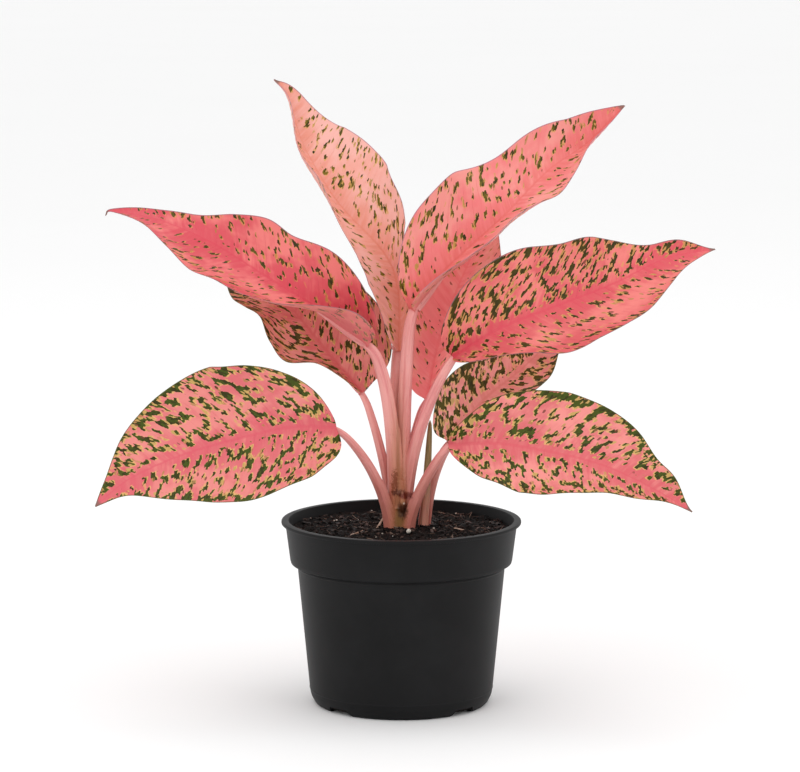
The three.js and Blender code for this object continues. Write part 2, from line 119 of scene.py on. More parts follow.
STEM_SWELL = 0.5                   # how soon a stem thickens below the blade
STEM_SIDES = 40
STEM_STEPS = 32                    # stations along a stem that stands by itself
PETIOLE_STEPS = 44                 # stations along a petiole, up to its blade
RUN_ON_STEPS = 16                  # and under it
SHADE_SEAM_LEFT = 2                      # the brown seam of painted shade where the petioles meet, left of the pot's middle
PETIOLE_FOOT = 107
SHEATH = 0.3                       # the share of a petiole that its sheath takes up
SHEATH_FADE = 0.03                 # the share over which it ends
CHANNEL_SPREAD = 0.42              # the channel of a petiole, in radians as the next two
WING_ANGLE = 0.8                   # where the sheath's edges stand, from the channel's middle
WING_SPREAD = 0.17
WING_REACH = 0.22                  # how far an edge of 1 mm stands out, as a share of the radius
SINK = 0.4                         # how far a petiole lies under its blade
SINK_START = 0.86                  # where along it starts to dip there
RUN_ON = 46                        # how far a petiole runs on under its blade
SIDE_LEAF = "leaf_behind_right"
SIDE_FOOT = 90
CANE = {"x": -1.5, "y": -1, "radius": 9.3, "bottom": 88, "shoulder": 110, "neck": 7.2,
        "top": 142, "top_radius": 5, "ridges": (124, 133.5), "ridge": 0.5}
YOUNG_LEAF = {"foot": (12.5, -2, 96), "bend": (16, -2, 140), "top": (18, 5, 178),
              "radius": (0.15, 3.1), "swell": 0.33}
BUD = {"foot": (0, -5, 122), "bend": (1, -9, 128), "top": (0.5, -8, 135), "radius": (0.4, 2.3),
       "swell": STEM_SWELL}
# Pale twigs in the soil: their two ends, with heights from the surface, and their radius.
TWIGS = [
    ((-16, -5, -1.5), (-11.2, -4, 5.6), 0.8),
    ((-31, -24, 0.3), (-24, -10, 0.6), 0.7),
    ((33, -6, 0.2), (39, -3, 0.9), 0.6),
]
# Marks on the front of the cane: where they lie, from the left and in height, how large and
# how ragged they are, how strong, and their colour as a screen shows it.
CANE_MARKS = [
    ((-1, 128), (6, 26), 1.6, 0.6, (156, 90, 44)),
    ((-1.2, 117), (3.4, 9), 1.4, 0.7, (120, 88, 30)),
    ((-4, 140), (2.6, 9), 5, 0.85, (122, 56, 24)),
    ((-2, 134), (5, 2.6), 4.4, 0.8, (86, 36, 16)),
    ((3, 132), (4.4, 2.4), 3, 0.85, (104, 26, 12)),
    ((0.8, 123), (3.8, 6.4), 1.8, 0.9, (52, 26, 12)),
    ((0.6, 129), (2, 1.8), 1.2, 0.55, (186, 130, 88)),
    ((1.7, 127.6), (0.8, 0.8), 0.3, 0.9, (226, 206, 186)),
]

# The stage, in metres. Lights: their place, their breadth and the setting with their power.
AIM = (0, 0, 0.2)
LIGHTS = {
    "key_light": ((-1.1, -1.5, 1.7), 1.3, "key_power"),
    "fill_light": ((1.5, -1.1, 1.1), 1.1, "fill_power"),
    "top_light": ((0.1, 0.5, 2.2), 1.6, "key_power"),
}
FLOOR_SIZE = 30
CAMERA_PLACE = (-0.0008, -2.1556, 0.5097)
CAMERA_PITCH = 8.17                # degrees downwards
SENSOR_WIDTH = 36                  # in mm


# ---------------------------------------------------------------- colours


def screen(red, green, blue):
    """A colour as a screen shows it, 0 to 255 a channel, as the linear one that a shader takes."""

    def linear(channel):
        share = channel / 255
        return share / 12.92 if share <= 0.04045 else ((share + 0.055) / 1.055) ** 2.4

    return (linear(red), linear(green), linear(blue))


def skin_of(**tones):
    """The colours of one leaf, given as a screen shows them."""
    return {name: screen(*tone) for name, tone in tones.items()}


def half(edge=(0, 0), **shape):
    """One half of a blade. Where no edge is given, its margin has the plain shape."""
    return {"edge": edge, **shape}


# ---------------------------------------------------------------- the leaves

# midrib: points that it passes through, from the petiole to the tip. left and right: the
# halves of the blade, seen from above with the tip ahead. width: a half's widest place.
# widest: where along the midrib that lies. round: how full the half is towards the petiole.
# taper: how drawn out it is towards the tip. lean: degrees that it leans to the front, in
# even steps from petiole to tip. edge: how far its margin bulges past the plain shape, in mm
# and in even steps too. cup: how deep it is hollowed, as a share of its width. lobe: how far
# the base reaches back. ripple: the depth of the waves along the margins. petiole: its foot,
# the point it bends towards, its radius under the blade and at the foot, and the flare of the
# foot. skin: the pink where it is pale, strong and deep, the green of the flecks, and the
# colours of their halos, of the margin's line and of the dashes. flecks: for each half, how
# much of its middle and of its margin is green, as thresholds on a noise field, so that a
# lower one gives more green. slope: how far a side vein runs ahead for each mm outwards.
# clump: how broad a clump of flecks is. band: how broad that margin is. halo: how far the pale
# ground round a fleck spreads, on the same field. dashes: the share of small single dashes.
# seed: sets each leaf's pattern apart.
LEAVES = [
    {
        "name": "leaf_top_left",
        "midrib": [(-1, 10, 221), (-2, 27, 258), (-12, 37, 281), (-40, 51, 310), (-62, 68, 345),
                   (-72, 79, 375), (-81, 82, 386)],
        "left": half(width=30, widest=0.38, round=2, taper=1.2, cup=0.1,
                     lean=[62, 56, 52, 59, 74, 87, 88, 85, 87, 92, 95]),
        "right": half(width=39, widest=0.52, round=1.25, taper=1.05, cup=0.08,
                      lean=[50, 64, 75, 55, 18, 8, 0, -5, -10, -10, -10],
                      edge=[0, 0, 0, 0, -1, 0, 1, 2, 0, -4, -2]),
        "lobe": 2, "ripple": 1.2,
        "petiole": {"foot": (0, 1), "bend": (-5, 6, 165), "radius": (4.6, 5.4)},
        "slot": "leaf_pale",
        "skin": skin_of(pale=(240, 182, 172), strong=(236, 168, 154), deep=(228, 144, 122),
                        leafy=(112, 100, 26), halo=(212, 168, 98), rim=(176, 128, 140),
                        dash=(134, 100, 48)),
        "flecks": {"left": (0.62, 0.62), "right": (0.6, 0.6)},
        "slope": 0.5, "clump": 4.8, "band": 6, "halo": 0.016, "dashes": 0.16, "seed": 3,
    },
    {
        "name": "leaf_top_right",
        "midrib": [(6, 4, 248), (27, 15, 271), (62, 34, 301), (92, 50, 330), (118, 63, 347),
                   (142, 72, 370)],
        "left": half(width=40, widest=0.34, round=1.8, taper=0.9, cup=0.08,
                     lean=[25, 5, 0, -36, -5, 0],
                     edge=[0, 2, 3, 2, 2, 0, -1, -0.5, 0.5, 3, 0]),
        "right": half(width=30, widest=0.38, round=1.8, taper=1.2, cup=0.1,
                      lean=[112, 98, 86, 86, 87, 73, 58, 64, 86, 92, 88]),
        "lobe": 2, "ripple": 1.2,
        "petiole": {"foot": (1, -1), "bend": (0, 2, 190), "radius": (3, 5)},
        "slot": "leaf_pale",
        "skin": skin_of(pale=(236, 150, 142), strong=(232, 126, 126), deep=(220, 108, 100),
                        leafy=(96, 88, 22), halo=(208, 160, 92), rim=(168, 120, 140),
                        dash=(118, 80, 40)),
        "flecks": {"left": (0.605, 0.585), "right": (0.615, 0.585)},
        "slope": 0.6, "clump": 5.2, "band": 6, "halo": 0.016, "dashes": 0.16, "seed": 11,
    },
    {
        "name": "leaf_middle_left",
        "midrib": [(-20, -6, 228), (-52, -7, 250), (-83, -4, 269), (-118, 3, 290), (-151, 13, 303),
                   (-180, 24, 307.5), (-185, 25, 304.5)],
        "left": half(width=38, widest=0.42, round=1.9, taper=1.3, cup=0.1,
                     lean=[128, 124, 103, 80, 72, 68, 55, 64, 76, 80, 84]),
        "right": half(width=36, widest=0.28, round=1.8, taper=1.5, cup=0.08,
                      lean=[48, 8, -28, -32, -58, -45],
                      edge=[0, 0, -1, -2.5, -1.5, 3, 0, -3.5, -0.5, 3, 0]),
        "lobe": 5, "ripple": 1.2,
        "petiole": {"foot": (-4, -1), "bend": (-2, -5, 200), "radius": (2.6, 5)},
        "slot": "leaf_coral",
        "skin": skin_of(pale=(230, 124, 120), strong=(210, 86, 94), deep=(208, 72, 86),
                        leafy=(80, 76, 22), halo=(206, 142, 84), rim=(150, 110, 120),
                        dash=(106, 58, 34)),
        "flecks": {"left": (0.615, 0.585), "right": (0.61, 0.575)},
        "slope": 0.6, "clump": 3.8, "band": 7, "halo": 0.016, "dashes": 0.2, "seed": 17,
    },
    {
        "name": "leaf_behind_left",
        "midrib": [(-24, 4, 196), (-45, 17, 218), (-70, 32, 246), (-97, 46, 271), (-122, 54, 286)],
        "left": half(width=34, widest=0.5, round=1.5, taper=1.1, cup=0.08,
                     lean=[84, 82, 72, 36, 50, 66, 55, 44, 40, 40, 42]),
        "right": half(width=43, widest=0.29, round=2.2, taper=1.4, cup=0.08,
                      lean=[5, -4, -4, 0, 5, 5]),
        "lobe": 4, "ripple": 1.4,
        "petiole": {"foot": (-3, 1), "bend": (-10.5, 2, 160), "radius": (1.7, 3.4)},
        "slot": "leaf_coral",
        "skin": skin_of(pale=(230, 146, 136), strong=(212, 114, 110), deep=(206, 94, 94),
                        leafy=(62, 58, 12), halo=(212, 160, 98), rim=(124, 118, 86),
                        dash=(98, 66, 34)),
        "flecks": {"left": (0.54, 0.5), "right": (0.55, 0.51)},
        "slope": 0.8, "clump": 4.2, "band": 8, "halo": 0.02, "dashes": 0.26, "seed": 23,
    },
    {
        "name": "leaf_centre",
        "midrib": [(16, 16, 190), (22, 28, 219), (32, 41, 248), (45, 55, 277), (56, 67, 305)],
        "left": half(width=33, widest=0.56, round=1.7, taper=0.8, cup=0.08,
                     lean=[10, 8, 5, 0, 0, 0]),
        "right": half(width=30, widest=0.58, round=1.7, taper=0.8, cup=0.08,
                      lean=[75, 62, 46, 42, 52, 65]),
        "lobe": 2, "ripple": 1,
        "petiole": {"foot": (1, 2), "bend": (3, 7, 155), "radius": (2.6, 4.2)},
        "slot": "leaf_coral",
        # Painted light: these pinks are lighter than the leaf's own, to make up for the shade that the
        # leaves round it cast on it.
        "skin": skin_of(pale=(255, 182, 172), strong=(255, 156, 156), deep=(246, 126, 130),
                        leafy=(92, 86, 28), halo=(224, 168, 104), rim=(170, 110, 116),
                        dash=(120, 68, 40)),
        "flecks": {"left": (0.645, 0.635), "right": (0.645, 0.615)},
        "slope": 0.6, "clump": 3.6, "band": 6, "halo": 0.014, "dashes": 0.2, "seed": 31,
    },
    {
        "name": "leaf_middle_right",
        "midrib": [(32, -4, 219), (61, -12, 238), (97, -16, 253), (131, -13, 266), (163, -8, 281),
                   (194, -2, 286)],
        "left": half(width=41, widest=0.34, round=1.8, taper=1.3, cup=0.08,
                     lean=[40, 5, -20, -8, -38, -20],
                     edge=[0, 0, 0, 0, 0, -2, 1, 0, -4, 3, 0]),
        "right": half(width=41, widest=0.46, round=1.35, taper=1.1, cup=0.1,
                      lean=[78, 62, 58, 58, 50, 54, 56, 52, 55, 70, 82]),
        "lobe": 4, "ripple": 1.2,
        "petiole": {"foot": (2, 0), "bend": (2, -2, 168), "radius": (2.2, 4.5)},
        "slot": "leaf_coral",
        "skin": skin_of(pale=(232, 128, 122), strong=(214, 96, 100), deep=(214, 76, 92),
                        leafy=(54, 54, 12), halo=(212, 156, 94), rim=(140, 110, 112),
                        dash=(98, 54, 30)),
        "flecks": {"left": (0.535, 0.505), "right": (0.605, 0.565)},
        "slope": 0.65, "clump": 4.4, "band": 8, "halo": 0.02, "dashes": 0.24, "seed": 41,
    },
    {
        "name": "leaf_low_left",
        "midrib": [(-40, -20, 177), (-67, -35, 180), (-104, -51, 174), (-135, -61, 166),
                   (-165, -69, 153), (-185, -72, 137)],
        "left": half(width=45, widest=0.37, round=2, taper=1.25, cup=0.08,
                     lean=[56, 47, 37, 36, 36, 36],
                     edge=[0, -3, -1.5, -3, -2.5, -1, 1, 0, -0.5, -3, 0]),
        "right": half(width=45, widest=0.44, round=1.2, taper=1.1, cup=0.06,
                      lean=[0, -10, -10, -12, -12, -12],
                      edge=[0, 8, 10, 7, 2, 1, 0.5, 0.5, 0, -5, 0]),
        "lobe": 2, "ripple": 1.2,
        "petiole": {"foot": (-5.5, -4.5), "bend": (-12, -9, 151), "radius": (1.5, 3.8), "flare": 1.6},
        "slot": "leaf_flecked",
        "skin": skin_of(pale=(230, 138, 132), strong=(216, 110, 114), deep=(214, 90, 104),
                        leafy=(46, 74, 12), halo=(220, 178, 108), rim=(84, 86, 40),
                        dash=(108, 62, 48)),
        "flecks": {"left": (0.553, 0.5), "right": (0.55, 0.485)},
        "slope": 0.4, "clump": 5.4, "band": 8, "halo": 0.022, "dashes": 0.2, "seed": 53,
    },
    {
        "name": "leaf_low_right",
        "midrib": [(29, -18, 166), (59, -37, 170), (95, -56, 167), (124, -69, 161), (152, -79, 149),
                   (175, -82, 135.5)],
        "left": half(width=38, widest=0.45, round=1.35, taper=1.4, cup=0.06,
                     lean=[25, -5, -10, -15, -10, -10],
                     edge=[0, 0, 4, 2.5, 0, -1, 0, 1, 0, 6, 0]),
        "right": half(width=36, widest=0.38, round=1.25, taper=1.2, cup=0.08,
                      lean=[30, 42, 43, 56, 62, 70],
                      edge=[0, 1, 1, -3.5, -3.5, 0, 0, 1.5, 3.5, -4, 0]),
        "lobe": 2, "ripple": 1.2,
        "petiole": {"foot": (3.5, -5), "bend": (7, -9, 134), "radius": (2, 4), "flare": 1.3},
        "slot": "leaf_flecked",
        "skin": skin_of(pale=(238, 146, 140), strong=(218, 114, 116), deep=(216, 92, 102),
                        leafy=(48, 74, 10), halo=(222, 180, 110), rim=(80, 82, 34),
                        dash=(108, 62, 46)),
        "flecks": {"left": (0.558, 0.435), "right": (0.56, 0.485)},
        "slope": 0.4, "clump": 5.2, "band": 8, "halo": 0.024, "dashes": 0.22, "seed": 61,
    },
    {
        "name": "leaf_behind_right",
        "midrib": [(30.5, 10, 163), (51, 19, 188), (76, 31, 207), (97, 41, 226), (114, 48, 244)],
        "left": half(width=25, widest=0.24, round=1.9, taper=0.9, cup=0.08,
                     lean=[20, 10, -25, -38, -30, 0], edge=[0, 1.5, -1, 0, 0, 0]),
        "right": half(width=21, widest=0.5, round=1.6, taper=1.1, cup=0.08,
                      lean=[45, 52, 48, 46, 64, 66], edge=[0, 0, 0, -1, -2.5, 0]),
        "lobe": 6, "ripple": 1.4,
        "petiole": {"foot": (14, 7), "bend": (13, 7, 138), "radius": (2.4, 4.3)},
        "slot": "leaf_flecked",
        "skin": skin_of(pale=(248, 180, 172), strong=(236, 156, 150), deep=(222, 132, 124),
                        leafy=(64, 68, 12), halo=(230, 192, 128), rim=(90, 94, 36),
                        dash=(104, 70, 38)),
        "flecks": {"left": (0.52, 0.44), "right": (0.525, 0.455)},
        "slope": 0.5, "clump": 4.4, "band": 9, "halo": 0.028, "dashes": 0.28, "seed": 71,
    },
]


# ---------------------------------------------------------------- what a user would change


def length(name, description, millimetres):
    """A size property, given in mm and kept in metres."""
    return FloatProperty(name=name, description=description, default=millimetres * MM,
                         subtype="DISTANCE", unit="LENGTH")


def colour(name, description, red, green, blue):
    """A colour property, given as a screen shows it."""
    return FloatVectorProperty(name=name, description=description, subtype="COLOR", size=3,
                               min=0, max=1, default=screen(red, green, blue))


def share(name, description, value):
    """A property from 0 to 1."""
    return FloatProperty(name=name, description=description, default=value, min=0, max=1,
                         subtype="FACTOR")


def count(name, description, value):
    """A whole number of small things."""
    return IntProperty(name=name, description=description, default=value, min=0)


class PotSettings(bpy.types.PropertyGroup):
    rim_radius: length("Rim radius", "From the pot's axis to the outside of its lip", 75)
    lip_thickness: length("Lip thickness", "Height of the rolled lip", 2.2)
    band_high_radius: length("Band radius, top", "Outside of the band under the lip", 72.5)
    band_low_radius: length("Band radius, bottom", "Outside of the band above the step", 69.6)
    body_high_radius: length("Body radius, top", "Outside of the body under the step", 65)
    body_low_radius: length("Body radius, bottom", "Outside of the body above the foot", 57.5)
    foot_radius: length("Foot radius", "Edge of the flat underside", 54)
    plastic: colour("Plastic", "Colour of the moulded plastic", 14, 14, 15)
    roughness: share("Roughness", "How matte the plastic is", 0.52)


class SoilSettings(bpy.types.PropertyGroup):
    level: length("Level", "Height of the soil at the pot's wall", 109.3)
    mound: length("Mound", "How much higher the soil stands round the stems", 3.2)
    lump: length("Lumps", "Height of the lumps of the surface", 1.5)
    dark: colour("Dark", "Colour of the wet soil", 12, 9, 8)
    light: colour("Light", "Colour of the drier soil", 44, 30, 25)
    crumbs: count("Crumbs", "Round crumbs on the surface", 1500)
    chips: count("Chips", "Flat flakes of bark", 360)
    fibres: count("Fibres", "Thin bits of root and coir", 170)
    perlite: count("Perlite", "White grains", 60)


class StemSettings(bpy.types.PropertyGroup):
    pale: colour("Pale", "Colour of the petioles under the blades", 232, 160, 154)
    rosy: colour("Rosy", "Colour of their shaded streaks", 208, 114, 116)
    brown: colour("Brown", "Colour towards the soil", 178, 96, 74)
    # The tan and the olive seam below are painted shade, where the petioles meet low down.
    tan: colour("Tan", "Colour low down between the petioles", 196, 130, 96)
    olive: colour("Olive", "Colour of the seam down their middle", 140, 88, 44)
    scar: colour("Scar", "Colour of the freckles", 84, 44, 26)
    groove: share("Groove", "Depth of a petiole's channel, as a share of its radius", 0.2)
    wing: length("Sheath edge", "How far the edges of the sheath stand out", 0.7)


class LeafSettings(bpy.types.PropertyGroup):
    thickness: length("Blade thickness", "Thickness of a blade beside its midrib", 0.55)
    margin: length("Margin thickness", "Thickness of a blade at its edge", 0.3)
    keel: length("Keel", "How far the midrib stands out of the underside", 2.6)
    vein_spacing: length("Vein spacing", "Distance between the side veins", 7.5)
    pucker: length("Pucker", "How far the blade swells between its side veins", 0.22)
    rim_width: length("Rim width", "Breadth of the coloured line along the margins", 0.8)
    dark_green: colour("Dark green", "The darkest green of the flecks", 18, 36, 4)
    olive: colour("Olive", "The half-green patches beside the flecks", 148, 134, 46)
    drip_tip: colour("Drip tip", "Colour of the dry end of a blade", 122, 102, 92)
    rows: count("Rows", "Faces along a blade", 130)
    columns: count("Columns", "Faces across a blade", 44)


class StudioSettings(bpy.types.PropertyGroup):
    floor: colour("Floor", "Colour of the floor", 246, 246, 246)
    key_power: FloatProperty(name="Key light", description="Power of the large soft light", default=6,
                             unit="POWER")
    fill_power: FloatProperty(name="Fill light", description="Power of the light from the right",
                              default=2.5, unit="POWER")
    sky: FloatProperty(name="Surround", description="Brightness of the white surround", default=1.03)
    lens: FloatProperty(name="Lens", description="Focal length of the camera, in mm", default=157.5)


# ---------------------------------------------------------------- shaders


class Wire:
    """An output of a shader node. Python's operators on it add Math nodes to its shader."""

    def __init__(self, shader, socket):
        self.shader = shader
        self.socket = socket

    def __getitem__(self, name):
        return Wire(self.shader, self.socket.node.outputs[name])

    def __add__(self, other):
        return self.shader.maths("ADD", self, other)

    def __radd__(self, other):
        return self.shader.maths("ADD", other, self)

    def __sub__(self, other):
        return self.shader.maths("SUBTRACT", self, other)

    def __rsub__(self, other):
        return self.shader.maths("SUBTRACT", other, self)

    def __mul__(self, other):
        return self.shader.maths("MULTIPLY", self, other)

    def __rmul__(self, other):
        return self.shader.maths("MULTIPLY", other, self)

    def __truediv__(self, other):
        return self.shader.maths("DIVIDE", self, other)

    def __gt__(self, other):
        return self.shader.maths("GREATER_THAN", self, other)

    def __lt__(self, other):
        return self.shader.maths("LESS_THAN", self, other)

    def __abs__(self):
        return self.shader.maths("ABSOLUTE", self)


class Shader:
    """One material: its Principled shader, with the nodes that feed it."""

    def __init__(self, name, constants):
        self.material = bpy.data.materials.new(name)
        self.material.use_nodes = True
        self.tree = self.material.node_tree
        self.skin = self.tree.nodes["Principled BSDF"]
        for socket, value in constants.items():
            self.skin.inputs[socket].default_value = value

    def feed(self, socket, value):
        if isinstance(value, Wire):
            self.tree.links.new(value.socket, socket)
        elif socket.type == "RGBA":
            socket.default_value = (*value, 1)
        else:
            socket.default_value = value

    def node(self, kind, settings=None, sockets=None, output=0):
        """Any node: its settings first, then the values or wires of its sockets."""
        made = self.tree.nodes.new(kind)
        for name, value in (settings or {}).items():
            setattr(made, name, value)
        for name, value in (sockets or {}).items():
            self.feed(made.inputs[name], value)
        return Wire(self, made.outputs[output])

    def maths(self, operation, *values):
        sockets = dict(enumerate(values))
        return self.node("ShaderNodeMath", {"operation": operation}, sockets)

    def mix(self, factor, first, second):
        """Two colours, mixed."""
        return self.node("ShaderNodeMix", {"data_type": "RGBA"}, {0: factor, 6: first, 7: second}, 2)

    def vector(self, x, y, z=0):
        return self.node("ShaderNodeCombineXYZ", None, {0: x, 1: y, 2: z})

    def parts(self, vector):
        split = self.node("ShaderNodeSeparateXYZ", None, {0: vector})
        return split["X"], split["Y"], split["Z"]

    def attribute(self, name):
        return self.node("ShaderNodeAttribute", {"attribute_name": name})["Vector"]

    def place(self):
        """Object coordinates, in metres."""
        return self.node("ShaderNodeTexCoord")["Object"]

    def stretched(self, vector, scale):
        """A vector times a scale, axis by axis."""
        return self.node("ShaderNodeVectorMath", {"operation": "MULTIPLY"}, {0: vector, 1: scale})

    def noise(self, vector, scale=1, detail=2, rough=0.5, flat=False):
        settings = {"noise_dimensions": "2D" if flat else "3D"}
        sockets = {"Vector": vector, "Scale": scale, "Detail": detail, "Roughness": rough}
        return self.node("ShaderNodeTexNoise", settings, sockets)

    def cells(self, vector, scale=1, metric="EUCLIDEAN", flat=False):
        settings = {"voronoi_dimensions": "2D" if flat else "3D", "distance": metric}
        return self.node("ShaderNodeTexVoronoi", settings, {"Vector": vector, "Scale": scale})

    def step(self, value, low, high):
        """0 below low, 1 above high, and smooth between."""
        sockets = {"Value": value, "From Min": low, "From Max": high}
        return self.node("ShaderNodeMapRange", {"interpolation_type": "SMOOTHSTEP"}, sockets)

    def bump(self, height, distance, strength=1):
        """The Normal of a relief; distance is what a height of 1 stands for, in mm."""
        sockets = {"Strength": strength, "Distance": distance * MM, "Height": height}
        return self.node("ShaderNodeBump", None, sockets)

    def finish(self, **inputs):
        for name, value in inputs.items():
            self.feed(self.skin.inputs[name.replace("_", " ")], value)
        return self.material


# ---------------------------------------------------------------- finishes


def moulded_plastic(settings):
    """Matte black plastic with a fine grain, rubbed a little lighter here and there."""
    s = Shader("moulded_plastic", {"Specular IOR Level": 0.16})
    place = s.place()
    cloudy = s.noise(place, 22, 4, 0.6)
    grain = s.noise(place, 1900, 2)
    scuffs = s.step(s.noise(s.stretched(place, (60, 60, 240)), 1, 5, 0.7), 0.6, 0.78)
    rubbed = tuple(channel * 2.1 + 0.004 for channel in settings.plastic)
    tone = s.step(cloudy, 0.35, 0.75) * 0.45 + scuffs * 0.25
    colour_ = s.mix(tone, tuple(settings.plastic), rubbed)
    rough = settings.roughness + (cloudy - 0.5) * 0.14 + scuffs * 0.08
    return s.finish(Base_Color=colour_, Roughness=rough, Normal=s.bump(grain, 0.05, 0.5))


def potting_soil(settings):
    """Damp peat: nearly black, with drier brown specks."""
    s = Shader("potting_soil", {"Specular IOR Level": 0.15})
    place = s.place()
    lumps = s.noise(place, 260, 5, 0.65)
    specks = s.noise(place, 1400, 3, 0.6)
    fine = s.cells(place, 900)
    tone = s.step(lumps, 0.45, 0.72) * 0.6 + s.step(specks, 0.58, 0.72) * 0.55
    colour_ = s.mix(tone, tuple(settings.dark), tuple(settings.light))
    relief = lumps * 0.6 + fine * 0.4
    return s.finish(Base_Color=colour_, Roughness=0.72 + specks * 0.3, Normal=s.bump(relief, 0.9))


def woody(name, dark, light, gloss):
    """Bark, root or coir: brown, darker along its grain."""
    s = Shader(name, {"Specular IOR Level": gloss})
    place = s.place()
    piece = s.noise(place, 130, 1)
    grain = s.noise(place, 900, 4, 0.6)
    tone = s.step(piece, 0.38, 0.66) * 0.75 + (grain - 0.5) * 0.5
    colour_ = s.mix(tone, dark, light)
    return s.finish(Base_Color=colour_, Roughness=0.6 + grain * 0.3, Normal=s.bump(grain, 0.3))


def perlite_grain():
    """White, dusty, full of small pits."""
    s = Shader("perlite_grain", {"Specular IOR Level": 0.3})
    place = s.place()
    pits = s.cells(place, 2200)
    dust = s.step(s.noise(place, 700, 3), 0.5, 0.7)
    colour_ = s.mix(dust * 0.6, screen(232, 226, 214), screen(150, 132, 112))
    return s.finish(Base_Color=colour_, Roughness=0.85 - dust * 0.1, Normal=s.bump(pits, 0.4))


def stem_skin(settings):
    """Waxy pink petioles, streaked along their length, brown and scarred at the cane, with painted shade
    where they meet low down: a tan band and a darker seam along its middle.
    """
    s = Shader("stem_skin", {"Specular IOR Level": 0.4, "Subsurface Weight": 0.05,
                             "Subsurface Radius": (0.004, 0.002, 0.0015), "Subsurface Scale": 1})
    along, around, tint = s.parts(s.attribute("place"))
    place = s.place()
    z = s.parts(place)[2] / MM
    streaks = s.noise(s.vector(around * 0.3, along * 0.02, tint * 9), 1, 3, 0.6)
    fine = s.noise(s.vector(around * 1.6, along * 0.05, tint * 9), 1, 3, 0.6)
    blotches = s.noise(place, 90, 3, 0.6)
    rosy = s.step(streaks * 0.75 + fine * 0.25, 0.42, 0.66)
    skin = s.mix(rosy * 0.8, tuple(settings.pale), tuple(settings.rosy))
    low = 1 - s.step(z + (blotches - 0.5) * 30, 112, 190)
    skin = s.mix(low * 0.7, skin, tuple(settings.brown))
    # Painted shade where the petioles meet: a tan band low in the middle, and a darker olive seam along
    # that line.
    beside = abs(s.parts(place)[0] / MM + SHADE_SEAM_LEFT + (fine - 0.5) * 3)
    inner = (1 - s.step(beside, 2, 8)) * (1 - s.step(z, 150, 230))
    skin = s.mix(inner * 0.6, skin, tuple(settings.tan))
    seam = inner * (1 - s.step(beside, 0.3, 2))
    skin = s.mix(seam * 0.6, skin, tuple(settings.olive))
    freckles = s.step(s.noise(s.vector(around * 1.6, along * 0.3, tint * 9), 1, 1), 0.7, 0.74)
    skin = s.mix(freckles * 0.25, skin, tuple(settings.scar))
    for centre, size, ragged, strength, tone in CANE_MARKS:
        mark = cane_mark(s, place, centre, size, ragged)
        skin = s.mix(mark * strength, skin, screen(*tone))
    relief = fine * 0.6 + streaks * 0.4
    return s.finish(Base_Color=skin, Roughness=0.34 + fine * 0.16, Normal=s.bump(relief, 0.3))


def cane_mark(s, place, centre, size, ragged):
    """A spot on the front of the cane, at a place given from the left and in height, in mm."""
    x, y, z = s.parts(place)
    dx = (x / MM - centre[0]) / size[0]
    dz = (z / MM - centre[1]) / size[1]
    edge = s.noise(place, 640, 4, 0.7) - 0.5
    away = dx * dx + dz * dz + edge * ragged
    return (1 - s.step(away, 0.1, 1.2)) * (1 - s.step(y / MM, -4, 1))


def young_skin():
    """The rolled young leaf: olive brown, greener in streaks, with a rosy foot."""
    s = Shader("young_skin", {"Specular IOR Level": 0.4, "Subsurface Weight": 0.08,
                              "Subsurface Radius": (0.004, 0.002, 0.001), "Subsurface Scale": 1})
    along, around, _ = s.parts(s.attribute("place"))
    streaks = s.noise(s.vector(around * 1.4, along * 0.06), 1, 4, 0.6)
    skin = s.mix(s.step(streaks, 0.4, 0.65), screen(150, 120, 78), screen(96, 88, 42))
    skin = s.mix(1 - s.step(along, 22, 52), skin, screen(196, 132, 112))
    edge = s.step(s.noise(s.vector(around * 0.6, along * 0.03), 1, 2), 0.55, 0.62)
    skin = s.mix(edge * 0.5, skin, screen(70, 60, 26))
    return s.finish(Base_Color=skin, Roughness=0.4 + streaks * 0.1, Normal=s.bump(streaks, 0.3))


def patchwork(s, across_vein, out, clump):
    """Angular patches along the side veins: how strong the clump is that each one lies in,
    and the patch's random numbers."""
    patches = s.cells(s.vector(across_vein / PATCH[0], out / PATCH[1]), 1, "CHEBYCHEV", True)
    spread = (PATCH[0] / clump, PATCH[1] / clump / CLUMP_STRETCH, 0)
    spot = s.stretched(patches["Position"], spread)
    return s.noise(spot, 1, 2.5, 0.62, True), patches["Color"]


def fleck_level(s, leaf, vein, out, margin):
    """How strong a clump must be to show green: less towards the margins than in the middle."""
    hand = s.step(vein, HALF_OFFSET / 2, HALF_OFFSET / 2 + 1)
    near_margin = 1 - s.step(margin, 1, leaf["band"])
    levels = {}
    for side in HANDS:
        middle, edge = leaf["flecks"][side]
        levels[side] = middle + (edge - middle) * near_margin
    level = levels["right"] + (levels["left"] - levels["right"]) * hand
    level = level + (1 - s.step(out, 1, 4)) * 0.2
    drift = s.noise(s.vector(vein * 0.04, out * 0.06, leaf["seed"] + 5), 1, 2)
    return level - (drift - 0.5) * 0.12


def fleck_fields(s, leaf, vein, out, margin):
    """How green, how haloed and how dashed the blade is at each place."""
    warp = s.noise(s.vector(vein * 0.3, out * 0.25, leaf["seed"]), 1, 2, 0.6)
    across_vein = vein + (warp - 0.5) * 2.4
    along_vein = out + (warp - 0.5) * 1.2
    level = fleck_level(s, leaf, vein, out, margin)
    clump, shade = patchwork(s, across_vein, along_vein, leaf["clump"])
    beside, _ = patchwork(s, across_vein + EDGE_SHIFT, along_vein + EDGE_SHIFT, leaf["clump"])
    core = s.step(clump - level, 0, 0.008)
    glint = s.step(beside - level, 0, 0.008)
    halo = s.step(clump - level, -leaf["halo"], 0.01 - leaf["halo"])
    dash_cells = s.cells(s.vector(across_vein / 3, out / 5, 0.5), 1, "EUCLIDEAN")
    pick, size, _ = s.parts(dash_cells["Color"])
    dash = s.step((0.14 + size * 0.18) - dash_cells, 0, 0.05) * (pick < leaf["dashes"])
    dash = dash * s.step(out, 2, 4)
    return core, glint, halo, dash, shade


